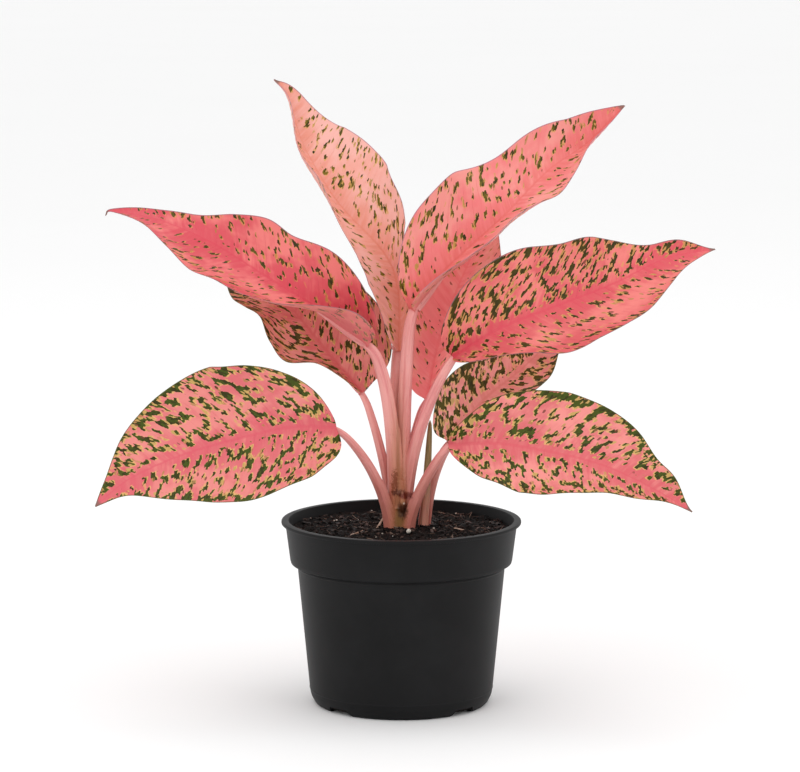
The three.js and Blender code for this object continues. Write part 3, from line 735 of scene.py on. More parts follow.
def side_veins(s, vein, margin, fan, settings):
    """Faint lines from the midrib outwards, broken up and fading towards the margin."""
    rib = vein / (settings.vein_spacing / MM) + (fan - 0.5) * 0.5
    ridge = abs(rib - s.maths("FLOOR", rib) - 0.5) * 2
    return s.step(ridge, 0.84, 1) * s.step(margin, 4, 14) * s.step(fan, 0.4, 0.6)


def leaf_ground(s, skin, out, cloud, fan, side_vein):
    """The pink between the flecks, stronger and streaked beside the midrib."""
    near = 1 - s.step(out, 2, 16)
    tone = s.step(cloud * 0.85 + fan * 0.15 + near * 0.1, 0.42, 0.62)
    ground = s.mix(tone, skin["pale"], skin["strong"])
    ground = s.mix(near * s.step(fan, 0.3, 0.66) * 0.65, ground, skin["deep"])
    return s.mix(side_vein * 0.22, ground, skin["deep"])


def leaf_skin(leaf, settings, span, under):
    """One side of a blade: pink ground, side veins, green flecks with halos, midrib and rim."""
    side = "under" if under else "upper"
    s = Shader(leaf["name"] + "_" + side, {"Specular IOR Level": 0.12})
    skin = leaf["skin"]
    along, across, margin = s.parts(s.attribute("place"))
    out = abs(across)
    vein = along - out * leaf["slope"] - out * out * VEIN_CURVE + (across > 0) * HALF_OFFSET
    cloud = s.noise(s.vector(along * 0.03, across * 0.04, leaf["seed"]), 1, 3, 0.6)
    fan = s.noise(s.vector(vein * 0.26, out * 0.05, leaf["seed"]), 1, 2, 0.6)
    side_vein = side_veins(s, vein, margin, fan, settings)
    ground = leaf_ground(s, skin, out, cloud, fan, side_vein)

    core, glint, halo, dash, shade = fleck_fields(s, leaf, vein, out, margin)
    green_pick, halo_pick, cream_pick = s.parts(shade)
    halo_colour = s.mix(s.step(halo_pick, 0.4, 0.6), skin["halo"], tuple(settings.olive))
    flecked = s.mix(halo * 0.6, ground, halo_colour)
    flecked = s.mix(glint * 0.8, flecked, skin["halo"])
    green = s.mix(s.step(green_pick, 0.1, 0.8), tuple(settings.dark_green), skin["leafy"])
    green = s.mix((cream_pick > 0.86) * 0.75, green, skin["halo"])
    flecked = s.mix(core * 0.95, flecked, green)
    flecked = s.mix(dash * 0.8, flecked, skin["dash"])

    rib_width = RIB_WIDTH[0] - along * ((RIB_WIDTH[0] - RIB_WIDTH[1]) / span)
    midrib = 1 - s.step(out, rib_width * 0.5, rib_width)
    flecked = s.mix(midrib * 0.5, flecked, skin["deep"])
    rim = 1 - s.step(margin, settings.rim_width / MM * 0.4, settings.rim_width / MM)
    flecked = s.mix(rim * s.step(along, 4, 16) * 0.8, flecked, skin["rim"])
    drip = s.step(along, span - DRIP_TIP, span - DRIP_TIP / 2)
    flecked = s.mix(drip * 0.8, flecked, tuple(settings.drip_tip))
    if under:
        flecked = s.mix(0.32, flecked, screen(222, 154, 144))
    relief = side_vein * (0.5 if under else -0.5) + fan * 0.25 + s.noise(s.place(), 700, 2) * 0.25
    rough = 0.42 + (cloud - 0.5) * 0.2 - core * 0.05 + (0.12 if under else 0)
    return s.finish(Base_Color=flecked, Roughness=rough, Normal=s.bump(relief, 0.25))


def floor_paper(settings):
    """Plain pale floor, a trace uneven."""
    s = Shader("floor_paper", {"Specular IOR Level": 0.2})
    cloudy = s.noise(s.place(), 1.5, 3)
    shade = tuple(channel * 0.985 for channel in settings.floor)
    colour_ = s.mix(cloudy, tuple(settings.floor), shade)
    return s.finish(Base_Color=colour_, Roughness=0.8 + cloudy * 0.1)


# ---------------------------------------------------------------- curves


class Curve:
    """A smooth curve through points, by its parameter or by a share of its length."""

    CHORDS = 200

    def __init__(self, points):
        self.points = [Vector(p) for p in points]
        samples = [self.at(i / self.CHORDS) for i in range(self.CHORDS + 1)]
        self.lengths = [0.0]
        for before, after in zip(samples, samples[1:]):
            self.lengths.append(self.lengths[-1] + (after - before).length)
        self.span = self.lengths[-1]

    def at(self, t):
        last = len(self.points) - 1
        place = min(max(t, 0), 1) * last
        k = min(int(place), last - 1)
        w = place - k
        p1, p2 = self.points[k], self.points[k + 1]
        p0 = self.points[k - 1] if k > 0 else 2 * p1 - p2
        p3 = self.points[k + 2] if k + 2 <= last else 2 * p2 - p1
        t0 = (p2 - p0) / 2
        t1 = (p3 - p1) / 2
        return (2 * w ** 3 - 3 * w ** 2 + 1) * p1 + (w ** 3 - 2 * w ** 2 + w) * t0 \
            + (3 * w ** 2 - 2 * w ** 3) * p2 + (w ** 3 - w ** 2) * t1

    def parameter(self, share_):
        wanted = share_ * self.span
        low, high = 0, self.CHORDS
        while high - low > 1:
            middle = (low + high) // 2
            if self.lengths[middle] <= wanted:
                low = middle
            else:
                high = middle
        step = self.lengths[high] - self.lengths[low]
        return (low + (wanted - self.lengths[low]) / step) / self.CHORDS

    def along(self, share_):
        return self.at(self.parameter(share_))

    def ahead(self, share_):
        t = self.parameter(share_)
        return (self.at(t + 0.001) - self.at(t - 0.001)).normalized()


# ---------------------------------------------------------------- meshes


def wrapped_grid(bm, around, steps, surface):
    """A grid bent over surface(a, b), both from 0 to 1, with its seam and poles closed."""
    grid = bmesh.ops.create_grid(bm, x_segments=around, y_segments=steps, size=0.5)
    for vert in grid["verts"]:
        surface(vert, vert.co.x + 0.5, vert.co.y + 0.5)
    bmesh.ops.remove_doubles(bm, verts=grid["verts"], dist=1e-7)


def piece(name, bm, materials, slot, replaced=(), crease=40):
    """A finished piece from a bmesh in metres."""
    bmesh.ops.recalc_face_normals(bm, faces=bm.faces)
    sharp = math.radians(crease)
    for face in bm.faces:
        face.smooth = True
    for edge in bm.edges:
        if edge.is_manifold and edge.calc_face_angle(0) > sharp:
            edge.smooth = False
    mesh = bpy.data.meshes.new(name)
    bm.to_mesh(mesh)
    bm.free()
    for material in materials:
        mesh.materials.append(material)
    made = bpy.data.objects.new(name, mesh)
    bpy.context.scene.collection.objects.link(made)
    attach(made, "root")
    if replaced:
        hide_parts(*replaced)
    return made


# ---------------------------------------------------------------- pot


def pot_profile(p):
    """The pot's section, in mm: up the outside, over the lip and down the inside."""
    rim, foot = p.rim_radius / MM, p.foot_radius / MM
    low, high = p.body_low_radius / MM, p.body_high_radius / MM
    band_low, band_high = p.band_low_radius / MM, p.band_high_radius / MM
    lip = POT_HEIGHT - p.lip_thickness / MM
    outside = [(0, 0), (foot, 0), (low - 0.6, FOOT_TOP),
               (low, LOW_BEAD - 0.4), (low + BEAD_RISE, LOW_BEAD), (low + 0.1, LOW_BEAD + 0.4),
               (high - 0.1, HIGH_BEAD - 0.6), (high + BEAD_RISE, HIGH_BEAD),
               (high + 0.1, HIGH_BEAD + 0.8), (high, STEP_HEIGHT),
               (band_low - 0.5, STEP_HEIGHT + 1.4), (band_low, BAND_FOOT),
               (band_high, lip), (rim, lip), (rim, POT_HEIGHT)]
    inside = [(band_high - POT_WALL - 0.2, POT_HEIGHT), (band_low - POT_WALL, BAND_FOOT),
              (high - POT_WALL, STEP_HEIGHT), (low - POT_WALL - 0.6, FLOOR_THICKNESS + 2.5),
              (low - POT_WALL - 2.6, FLOOR_THICKNESS), (0, FLOOR_THICKNESS)]
    return outside + inside


def rounding(point, p):
    """How far the corner at a point of the pot's section is rounded, in mm."""
    radius, height = point
    if radius >= p.rim_radius / MM:
        return ROUNDING["lip"]
    if height <= FOOT_TOP:
        return ROUNDING["foot"]
    return ROUNDING["elsewhere"]


def spin_profile(bm, points, corner, sides):
    """A profile with rounded corners, spun round the upright axis."""
    verts = [bm.verts.new(Vector((radius, 0, height)) * MM) for radius, height in points]
    for first, second in zip(verts, verts[1:]):
        bm.edges.new((first, second))
    for vert, point in list(zip(verts, points))[1:-1]:
        bmesh.ops.bevel(bm, geom=[vert], affect="VERTICES", offset=corner(point) * MM, segments=3,
                        profile=0.5, material=-1)
    bmesh.ops.spin(bm, geom=bm.verts[:] + bm.edges[:], cent=(0, 0, 0), axis=(0, 0, 1),
                   angle=math.tau, steps=sides, use_merge=True)
    bmesh.ops.remove_doubles(bm, verts=bm.verts, dist=1e-6)


def tunnel_cutter():
    """The four drainage channels under the foot, and their holes, as one cutter."""
    bm = bmesh.new()
    for turn in range(TUNNEL_COUNT):
        spun = Matrix.Rotation(math.radians(TUNNEL_TURN) + turn * math.tau / TUNNEL_COUNT, 4, "Z")
        cube = bmesh.ops.create_cube(bm, size=1)
        for vert in cube["verts"]:
            top = vert.co.z > 0
            width = TUNNEL_HIGH_WIDTH if top else TUNNEL_LOW_WIDTH
            radius = TUNNEL_OUTER_RADIUS if vert.co.y > 0 else TUNNEL_INNER_RADIUS
            height = TUNNEL_HEIGHT if top else TUNNEL_FLOOR
            vert.co = spun @ Vector((vert.co.x * width, radius, height)) * MM
        hole = bmesh.ops.create_cone(bm, cap_ends=True, segments=32, radius1=HOLE_RADIUS * MM,
                                     radius2=HOLE_RADIUS * MM, depth=HOLE_DEPTH * MM)
        centre = spun @ Vector(HOLE_PLACE) * MM
        bmesh.ops.translate(bm, verts=hole["verts"], vec=centre)
    bmesh.ops.recalc_face_normals(bm, faces=bm.faces)
    mesh = bpy.data.meshes.new("tunnel_cutter")
    bm.to_mesh(mesh)
    bm.free()
    cutter = bpy.data.objects.new("tunnel_cutter", mesh)
    bpy.context.scene.collection.objects.link(cutter)
    return cutter


def cut_tunnels(pot):
    """Takes the drainage channels out of the pot's mesh."""
    cutter = tunnel_cutter()
    cut = pot.modifiers.new("tunnels", "BOOLEAN")
    cut.operation = "DIFFERENCE"
    cut.object = cutter
    cut.solver = "EXACT"
    cut.use_self = True
    bpy.context.view_layer.update()
    depsgraph = bpy.context.evaluated_depsgraph_get()
    mesh = bpy.data.meshes.new_from_object(pot.evaluated_get(depsgraph))
    pot.modifiers.clear()
    pot.data = mesh
    bpy.data.objects.remove(cutter)


class EVERGREEN_OT_pot(bpy.types.Operator):
    """Makes the nursery pot"""

    bl_idname = "evergreen.pot"
    bl_label = "Pot"

    def execute(self, context):
        settings = context.scene.evergreen_pot
        bm = bmesh.new()
        spin_profile(bm, pot_profile(settings), lambda point: rounding(point, settings), POT_SIDES)
        pot = piece("nursery_pot", bm, [moulded_plastic(settings)], "pot_plastic", ["pot"], 30)
        cut_tunnels(pot)
        return {"FINISHED"}


# ---------------------------------------------------------------- soil


def soil_height(x, y, p):
    """Height of the soil's surface at a place, all in mm."""
    away = math.hypot(x, y) / SOIL_MOUND_RADIUS
    mound = p.mound / MM * math.exp(-away * away)
    bumps = math.sin(0.31 * x + 0.9) * math.sin(0.27 * y - 0.4) \
        + 0.6 * math.sin(0.63 * x - 0.47 * y + 2.1)
    spot = Vector((x, y, 0))
    lumps = noise.noise(spot * 0.16) + 0.7 * noise.noise(spot * 0.37)
    grains = abs(noise.noise(spot * 0.8)) + 0.6 * abs(noise.noise(spot * 1.7))
    return p.level / MM + mound + 0.7 * bumps + p.lump / MM * (0.7 * lumps + 0.55 * grains - 0.3)


def soil_section(b):
    """Radius and height of the soil's section at b, from 0 in the floor's middle to 1 on top."""
    if b >= SOIL_WALL_SHARE:
        return SOIL_RADIUS * (1 - (b - SOIL_WALL_SHARE) / (1 - SOIL_WALL_SHARE)), None
    place = b / SOIL_WALL_SHARE * (len(SOIL_WALL) - 1)
    k = min(int(place), len(SOIL_WALL) - 2)
    low, high = SOIL_WALL[k], SOIL_WALL[k + 1]
    w = place - k
    return low[0] + (high[0] - low[0]) * w, low[1] + (high[1] - low[1]) * w


class EVERGREEN_OT_soil(bpy.types.Operator):
    """Makes the soil with its lumpy surface"""

    bl_idname = "evergreen.soil"
    bl_label = "Soil"

    def execute(self, context):
        settings = context.scene.evergreen_soil

        def surface(vert, a, b):
            angle = a * math.tau
            radius, height = soil_section(b)
            x, y = radius * math.cos(angle), radius * math.sin(angle)
            if height is None:
                height = soil_height(x, y, settings)
            vert.co = Vector((x, y, height)) * MM

        bm = bmesh.new()
        wrapped_grid(bm, *SOIL_GRID, surface)
        piece("potting_mix", bm, [potting_soil(settings)], "potting_soil", ["soil"], 75)
        return {"FINISHED"}


def scattered_place(rng, clear):
    """A random place on the soil, outside the stems, in mm."""
    while True:
        radius = LITTER_RADIUS * math.sqrt(rng.random())
        angle = rng.random() * math.tau
        x, y = radius * math.cos(angle), radius * math.sin(angle)
        if math.hypot(x - CROWN.x, y - CROWN.y) > clear:
            return x, y


def set_down(bm, verts, rng, size, x, y, sink, settings):
    """Scales, turns and lays new verts on the soil at a place; sizes in mm."""
    tilt = Matrix.Rotation(rng.gauss(0, 0.3), 4, "X") @ Matrix.Rotation(rng.gauss(0, 0.3), 4, "Y")
    turn = Matrix.Rotation(rng.random() * math.tau, 4, "Z")
    height = soil_height(x, y, settings) + size[2] * (0.5 - sink)
    move = Matrix.Translation(Vector((x, y, height)) * MM)
    scale = Matrix.Diagonal((*size, 1)) @ Matrix.Scale(MM, 4)
    bmesh.ops.transform(bm, matrix=move @ turn @ tilt @ scale, verts=verts)


def roughen(verts, rng, amount):
    for vert in verts:
        vert.co *= 1 + rng.uniform(-amount, amount)


class EVERGREEN_OT_litter(bpy.types.Operator):
    """Strews crumbs, bark, fibres and perlite over the soil"""

    bl_idname = "evergreen.litter"
    bl_label = "Litter on the soil"

    def execute(self, context):
        p = context.scene.evergreen_soil
        rng = random.Random(LITTER_SEED)
        self.crumbs(p, rng)
        self.chips(p, rng)
        self.fibres(p, rng)
        self.perlite(p, rng)
        self.twigs(p)
        return {"FINISHED"}

    def crumbs(self, p, rng):
        bm = bmesh.new()
        for _ in range(p.crumbs):
            ball = bmesh.ops.create_icosphere(bm, subdivisions=1, radius=0.5)
            roughen(ball["verts"], rng, 0.3)
            size = rng.uniform(*CRUMB_SIZE)
            x, y = scattered_place(rng, CLEAR["crumbs"])
            flat = (size, size * rng.uniform(0.6, 1), size * rng.uniform(0.5, 0.9))
            set_down(bm, ball["verts"], rng, flat, x, y, 0.2, p)
        earth = woody("earth_crumb", screen(10, 8, 7), screen(48, 32, 27), 0.14)
        piece("soil_crumbs", bm, [earth], "potting_soil")

    def chips(self, p, rng):
        bm = bmesh.new()
        for _ in range(p.chips):
            block = bmesh.ops.create_cube(bm, size=1)
            roughen(block["verts"], rng, 0.25)
            x, y = scattered_place(rng, CLEAR["chips"])
            size = tuple(rng.uniform(*limits) for limits in CHIP_SIZE)
            set_down(bm, block["verts"], rng, size, x, y, 0, p)
        bark = woody("bark_chip", screen(24, 16, 14), screen(86, 64, 56), 0.35)
        piece("bark_chips", bm, [bark], "potting_soil")

    def fibres(self, p, rng):
        bm = bmesh.new()
        for _ in range(p.fibres):
            rod = bmesh.ops.create_cone(bm, cap_ends=True, segments=5, radius1=0.5, radius2=0.3, depth=1)
            bmesh.ops.rotate(bm, verts=rod["verts"], cent=(0, 0, 0),
                             matrix=Matrix.Rotation(math.radians(90), 3, "Y"))
            x, y = scattered_place(rng, CLEAR["fibres"])
            thick = rng.uniform(*FIBRE_BREADTH)
            size = (rng.uniform(*FIBRE_LENGTH), thick, thick)
            set_down(bm, rod["verts"], rng, size, x, y, -0.4, p)
        root = woody("root_fibre", screen(56, 40, 34), screen(150, 126, 110), 0.3)
        piece("root_fibres", bm, [root], "potting_soil")

    def twigs(self, p):
        bm = bmesh.new()
        for low, high, thick in TWIGS:
            foot, top = Vector(low), Vector(high)
            foot.z += soil_height(foot.x, foot.y, p)
            top.z += soil_height(top.x, top.y, p)
            rod = bmesh.ops.create_cone(bm, cap_ends=True, segments=12, radius1=thick * MM,
                                        radius2=thick * MM * 0.7, depth=(top - foot).length * MM)
            turn = (top - foot).to_track_quat("Z", "Y").to_matrix().to_4x4()
            bmesh.ops.transform(bm, matrix=Matrix.Translation((foot + top) / 2 * MM) @ turn,
                                verts=rod["verts"])
        pale = woody("pale_twig", screen(150, 116, 96), screen(224, 198, 178), 0.3)
        piece("pale_twigs", bm, [pale], "potting_soil")

    def perlite(self, p, rng):
        bm = bmesh.new()
        for index in range(p.perlite):
            ball = bmesh.ops.create_icosphere(bm, subdivisions=2, radius=0.5)
            roughen(ball["verts"], rng, 0.12)
            x, y = scattered_place(rng, CLEAR["perlite"])
            size = rng.uniform(*GRAIN_SIZE)
            if index == 0:
                (x, y), size = PEBBLE["place"], PEBBLE["size"]
            set_down(bm, ball["verts"], rng, (size, size, size * 0.9), x, y, 0, p)
        piece("perlite", bm, [perlite_grain()], "potting_soil")


# ---------------------------------------------------------------- stems


def bezier(foot, bend, top, u):
    """Place and direction at u on a quadratic curve."""
    place = foot * (1 - u) ** 2 + bend * 2 * u * (1 - u) + top * u ** 2
    ahead = (bend - foot) * (1 - u) + (top - bend) * u
    return place, ahead.normalized()


def tube(bm, stations, profile, tint):
    """A closed tube. stations are (centre, ahead, inner side, radius, along), in mm; profile
    gives the radius's factor at an angle from the inner side, at a station's number."""
    layer = bm.verts.layers.float_vector.get("place") or bm.verts.layers.float_vector.new("place")
    last = len(stations) - 1

    def surface(vert, a, b):
        index = min(round(b * (last + 2)), last + 2)
        closed = index in (0, last + 2)
        k = min(max(index - 1, 0), last)
        centre, ahead, inner, radius, along = stations[k]
        angle = (a - 0.5) * math.tau
        side = ahead.cross(inner)
        reach = 0 if closed else radius * profile(angle, k / last)
        vert.co = (centre + (inner * math.cos(angle) + side * math.sin(angle)) * reach) * MM
        vert[layer] = (along, angle * radius, tint)

    wrapped_grid(bm, STEM_SIDES, last + 2, surface)


def frame_of(leaf, u):
    """Both halves of a blade at u, and the way its upper face looks there."""
    midrib = leaf["curve"]
    ahead = midrib.ahead(u)
    halves = {hand: half_at(leaf, hand, ahead, u) for hand in HANDS}
    middle = (halves["left"][1] + halves["right"][1]).normalized()
    return midrib.along(u), ahead, halves, middle


def petiole_stations(leaf, foot_height):
    """The stem of a leaf from its foot, run on under the blade's midrib."""
    petiole = leaf["petiole"]
    foot = Vector((*petiole["foot"], foot_height))
    bend = Vector(petiole["bend"])
    top = Vector(leaf["midrib"][0])
    thin, thick = petiole["radius"]
    upper = frame_of(leaf, 0.06)[3]
    stations = []
    along = 0.0
    before = foot
    for i in range(PETIOLE_STEPS + 1):
        u = i / PETIOLE_STEPS
        centre, ahead = bezier(foot, bend, top, u)
        along += (centre - before).length
        before = centre
        radius = thin + (thick - thin) * (1 - u) ** STEM_SWELL
        inner = (upper - ahead * upper.dot(ahead)).normalized()
        radius += petiole.get("flare", 0) * max(0, 1 - u / SHEATH) ** 2
        sink = max(0, (u - SINK_START) / (1 - SINK_START)) ** 2
        stations.append((centre - inner * (radius + SINK) * sink, ahead, inner, radius, along))
    under_blade = min(RUN_ON / leaf["curve"].span, 0.4)
    for i in range(1, RUN_ON_STEPS + 1):
        w = i / RUN_ON_STEPS
        centre, ahead, _, facing = frame_of(leaf, w * under_blade)
        radius = thin * (1 - w) ** 0.8 + 0.3
        inner = (facing - ahead * facing.dot(ahead)).normalized()
        drop = radius + SINK + 0.8 * min(1, 3 * w)
        stations.append((centre - inner * drop, ahead, inner, radius, along + RUN_ON * w))
    return stations


def petiole_profile(p):
    """A petiole's section: a channel on its inner side, between the edges of its sheath."""

    def profile(angle, u):
        channel = p.groove * math.exp(-(angle / CHANNEL_SPREAD) ** 2)
        sheath = 1 if u < SHEATH else max(0, 1 - (u - SHEATH) / SHEATH_FADE)
        edge = math.exp(-((abs(angle) - WING_ANGLE) / WING_SPREAD) ** 2)
        return 1 - channel + sheath * edge * p.wing / MM * WING_REACH

    return profile


def plain_stations(path):
    """Stations of a stem that stands by itself."""
    foot, bend, top = (Vector(path[key]) for key in ("foot", "bend", "top"))
    thin, thick = path["radius"]
    stations = []
    for i in range(STEM_STEPS + 1):
        u = i / STEM_STEPS
        centre, ahead = bezier(foot, bend, top, u)
        side = Vector((1, 0, 0)).cross(ahead).normalized()
        radius = thin + (thick - thin) * (1 - u) ** path["swell"]
        stations.append((centre, ahead, side, radius, u * (top - foot).length))
    return stations


def cane_stations():
    """The short cane, narrower above the soil, with ridges where old leaves stood."""
    stations = []
    for i in range(CANE["top"] - CANE["bottom"] + 1):
        height = CANE["bottom"] + i
        above = max(0, (height - CANE["shoulder"]) / (CANE["top"] - CANE["shoulder"]))
        radius = CANE["radius"] if height < CANE["shoulder"] else \
            CANE["neck"] + (CANE["top_radius"] - CANE["neck"]) * above
        radius += sum(CANE["ridge"] * math.exp(-((height - at) / 0.7) ** 2) for at in CANE["ridges"])
        centre = Vector((CANE["x"], CANE["y"], height))
        stations.append((centre, Vector((0, 0, 1)), Vector((0, -1, 0)), radius, i))
    return stations


class EVERGREEN_OT_stems(bpy.types.Operator):
    """Makes the cane with its petioles and bud, and the stem that stands beside it"""

    bl_idname = "evergreen.stems"
    bl_label = "Stems"

    def execute(self, context):
        settings = context.scene.evergreen_stem
        skin = stem_skin(settings)
        profile = petiole_profile(settings)
        main = bmesh.new()
        for index, leaf in enumerate(LEAVES):
            if leaf["name"] != SIDE_LEAF:
                tube(main, petiole_stations(leaf, PETIOLE_FOOT), profile, 1 - index * 0.11)
        tube(main, cane_stations(), lambda angle, u: 1 + 0.03 * math.sin(5 * angle + 9 * u), 0.1)
        tube(main, plain_stations(BUD), lambda angle, u: 1 + 0.1 * math.sin(3 * angle + 6 * u), 0.15)
        piece("stem_main", main, [skin], "petiole", ["main_stem"])
        side = bmesh.new()
        leaf = next(leaf for leaf in LEAVES if leaf["name"] == SIDE_LEAF)
        tube(side, petiole_stations(leaf, SIDE_FOOT), profile, 0.3)
        piece("stem_side", side, [skin], "petiole", ["side_stem"])
        return {"FINISHED"}


class EVERGREEN_OT_young_leaf(bpy.types.Operator):
    """Makes the rolled young leaf between the stems"""

    bl_idname = "evergreen.young_leaf"
    bl_label = "Young leaf"

    def execute(self, context):
        def rolled(angle, u):
            seam = math.exp(-((angle - 0.9) / 0.16) ** 2)
            return 1 + 0.12 * angle / math.pi - 0.2 * seam

        bm = bmesh.new()
        tube(bm, plain_stations(YOUNG_LEAF), rolled, 0.5)
        piece("rolled_leaf", bm, [young_skin()], "young_sheath", ["young_leaf"])
        return {"FINISHED"}


# ---------------------------------------------------------------- blades


def half_width(half, u, edge):
    """Half the blade's width at u, from the petiole at 0 to the tip at 1."""
    if u < half["widest"]:
        share_ = (1 - (1 - u / half["widest"]) ** half["round"]) ** (1 / half["round"])
    else:
        past = (u - half["widest"]) / (1 - half["widest"])
        share_ = max(0, 1 - past ** TIP_CURVE) ** half["taper"]
    return TIP_WIDTH + half["width"] * share_ + edge.at(u).x * math.sqrt(math.sin(math.pi * u))


def half_at(leaf, hand, ahead, u):
    """How a half lies at u: the way out to its margin, the way its face looks, its width."""
    across = ahead.cross(FRONT_TO_BACK).normalized()
    front = ahead.cross(across)
    if hand == "right":
        across = -across
    lean = math.radians(leaf["leans"][hand].at(u).x)
    out = across * math.cos(lean) + front * math.sin(lean)
    facing = front * math.cos(lean) - across * math.sin(lean)
    return out, facing, half_width(leaf[hand], u, leaf["edges"][hand])


def blade_place(leaf, row, u, t, p):
    """A place on a blade at u along it and t across it, from -1 at the right margin to 1 at
    the left one: its point on the upper face, the way down to the lower, and its pattern."""
    centre, ahead, halves, middle = row
    hand = "left" if t >= 0 else "right"
    reach = abs(t)
    out, facing, width = halves[hand]
    half = leaf[hand]
    lobe = leaf["lobe"] * (u / LOBE_PLACE) * math.exp(1 - u / LOBE_PLACE) * reach * reach
    cup = half["cup"] * width * 4 * reach * (1 - reach)
    wave = math.sin(math.pi * (WAVES * u + WAVE_START[hand])) * math.sin(math.pi * u)
    flutter = noise.noise(Vector((u * FLUTTER_PACE, leaf["seed"], t))) * FLUTTER
    span = leaf["curve"].span
    along = span * u - lobe
    far = width * reach
    vein = along - far * leaf["slope"] - far * far * VEIN_CURVE
    swell = math.cos(math.tau * vein / (p.vein_spacing / MM)) * math.sin(math.pi * reach)
    lift = (leaf["ripple"] * wave + flutter) * reach * reach - cup
    lift -= p.pucker / MM * swell * min(1, width / PUCKER_WIDTH)
    channel = CHANNEL_DEPTH * (1 - u) * math.exp(-(far / CHANNEL_BREADTH) ** 2)
    normal = middle.lerp(facing, min(1, reach * HALF_BLEND)).normalized()
    point = centre + out * far - ahead * lobe + facing * lift - normal * channel
    thick = p.thickness / MM + (p.margin / MM - p.thickness / MM) * reach
    keel = p.keel / MM * (1 - u) ** KEEL_TAPER * math.exp(-far * far / KEEL_SPREAD)
    pattern = (along, far if hand == "left" else -far, width * (1 - reach))
    return point * MM, normal * (-(thick + keel) * MM), pattern


def blade_mesh(leaf, p):
    """One blade as a closed sheet, its underside with material 1."""
    bm = bmesh.new()
    place = bm.verts.layers.float_vector.new("place")
    drop = bm.verts.layers.float_vector.new("drop")
    grid = bmesh.ops.create_grid(bm, x_segments=p.columns, y_segments=p.rows, size=1)
    rows = {}
    for vert in grid["verts"]:
        even = (vert.co.y + 1) / 2
        u = min(max((even + (1 - math.cos(math.pi * even)) / 2) / 2, 0), 1)
        key = round(even * p.rows)
        if key not in rows:
            rows[key] = frame_of(leaf, u)
        vert.co, vert[drop], vert[place] = blade_place(leaf, rows[key], u, vert.co.x, p)
    lower = bmesh.ops.extrude_face_region(bm, geom=bm.faces[:], use_keep_orig=True)["geom"]
    for item in lower:
        if isinstance(item, bmesh.types.BMVert):
            item.co += item[drop]
        elif isinstance(item, bmesh.types.BMFace):
            item.material_index = 1
    bm.verts.layers.float_vector.remove(drop)
    return bm


class EVERGREEN_OT_leaves(bpy.types.Operator):
    """Makes the nine leaf blades"""

    bl_idname = "evergreen.leaves"
    bl_label = "Leaves"

    def execute(self, context):
        settings = context.scene.evergreen_leaf
        for leaf in LEAVES:
            span = leaf["curve"].span
            skins = [leaf_skin(leaf, settings, span, False), leaf_skin(leaf, settings, span, True)]
            piece("blade_" + leaf["name"][5:], blade_mesh(leaf, settings), skins, leaf["slot"],
                  [leaf["name"]])
        return {"FINISHED"}


# ---------------------------------------------------------------- stage


def soft_light(name, place, size, power):
    """A square soft light that faces the plant; metres and watts."""
    lamp = bpy.data.lights.new(name, "AREA")
    lamp.shape = "SQUARE"
    lamp.size = size
    lamp.energy = power
    made = bpy.data.objects.new(name, lamp)
    bpy.context.scene.collection.objects.link(made)
    made.location = place
    made.rotation_euler = (Vector(AIM) - Vector(place)).to_track_quat("-Z", "Y").to_euler()


def white_surround(strength):
    world = bpy.data.worlds.new("studio")
    world.use_nodes = True
    background = world.node_tree.nodes["Background"]
    background.inputs["Color"].default_value = (1, 1, 1, 1)
    background.inputs["Strength"].default_value = strength
    bpy.context.scene.world = world


class EVERGREEN_OT_stage(bpy.types.Operator):
    """Makes the floor, the lights and the camera"""

    bl_idname = "evergreen.stage"
    bl_label = "Stage"

    def execute(self, context):
        settings = context.scene.evergreen_studio
        bm = bmesh.new()
        bmesh.ops.create_grid(bm, x_segments=8, y_segments=8, size=FLOOR_SIZE)
        mesh = bpy.data.meshes.new("floor")
        bm.to_mesh(mesh)
        bm.free()
        mesh.materials.append(floor_paper(settings))
        floor = bpy.data.objects.new("floor", mesh)
        context.scene.collection.objects.link(floor)
        self.light(settings)
        self.camera(settings)
        return {"FINISHED"}

    def light(self, settings):
        for name, (place, size, power) in LIGHTS.items():
            soft_light(name, place, size, getattr(settings, power))
        white_surround(settings.sky)
        bpy.context.scene.view_settings.view_transform = "Standard"

    def camera(self, settings):
        lens = bpy.data.cameras.new("camera")
        lens.sensor_fit = "HORIZONTAL"
        lens.sensor_width = SENSOR_WIDTH
        lens.lens = settings.lens
        lens.clip_end = 100
        camera = bpy.data.objects.new("camera", lens)
        bpy.context.scene.collection.objects.link(camera)
        camera.location = CAMERA_PLACE
        camera.rotation_euler = (math.radians(90 - CAMERA_PITCH), 0, 0)
        bpy.context.scene.camera = camera


# ---------------------------------------------------------------- panel and registration


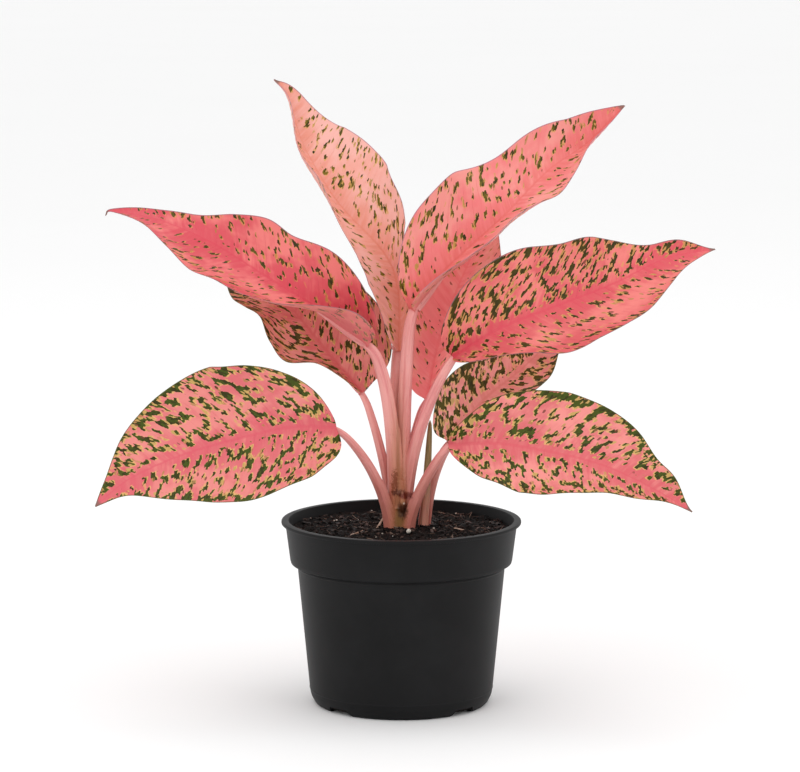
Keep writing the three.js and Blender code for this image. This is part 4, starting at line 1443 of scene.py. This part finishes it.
class EVERGREEN_PT_panel(bpy.types.Panel):
    """Lists the plant's settings and its operators"""

    bl_idname = "EVERGREEN_PT_panel"
    bl_label = "Potted evergreen"
    bl_space_type = "VIEW_3D"
    bl_region_type = "UI"
    bl_category = "Evergreen"

    def draw(self, context):
        for group, operators in SECTIONS:
            settings = getattr(context.scene, group)
            for name in settings.__annotations__:
                self.layout.prop(settings, name)
            for operator in operators:
                self.layout.operator(operator.bl_idname)


SECTIONS = [
    ("evergreen_pot", [EVERGREEN_OT_pot]),
    ("evergreen_soil", [EVERGREEN_OT_soil, EVERGREEN_OT_litter]),
    ("evergreen_stem", [EVERGREEN_OT_stems, EVERGREEN_OT_young_leaf]),
    ("evergreen_leaf", [EVERGREEN_OT_leaves]),
    ("evergreen_studio", [EVERGREEN_OT_stage]),
]
GROUPS = {
    "evergreen_pot": PotSettings,
    "evergreen_soil": SoilSettings,
    "evergreen_stem": StemSettings,
    "evergreen_leaf": LeafSettings,
    "evergreen_studio": StudioSettings,
}
OPERATORS = [operator for _, operators in SECTIONS for operator in operators]


def register():
    for group in GROUPS.values():
        bpy.utils.register_class(group)
    for operator in OPERATORS:
        bpy.utils.register_class(operator)
    bpy.utils.register_class(EVERGREEN_PT_panel)
    for name, group in GROUPS.items():
        setattr(bpy.types.Scene, name, PointerProperty(type=group))


def unregister():
    for name in GROUPS:
        delattr(bpy.types.Scene, name)
    bpy.utils.unregister_class(EVERGREEN_PT_panel)
    for operator in reversed(OPERATORS):
        bpy.utils.unregister_class(operator)
    for group in reversed(list(GROUPS.values())):
        bpy.utils.unregister_class(group)


def main():
    register()
    for leaf in LEAVES:
        leaf["curve"] = Curve(leaf["midrib"])
        leaf["leans"] = {hand: Curve([(angle, 0, 0) for angle in leaf[hand]["lean"]]) for hand in HANDS}
        leaf["edges"] = {hand: Curve([(size, 0, 0) for size in leaf[hand]["edge"]]) for hand in HANDS}
    bpy.ops.evergreen.stage()
    bpy.ops.evergreen.pot()
    bpy.ops.evergreen.soil()
    bpy.ops.evergreen.litter()
    bpy.ops.evergreen.stems()
    bpy.ops.evergreen.young_leaf()
    bpy.ops.evergreen.leaves()
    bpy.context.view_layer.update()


if __name__ == "__main__":
    main()
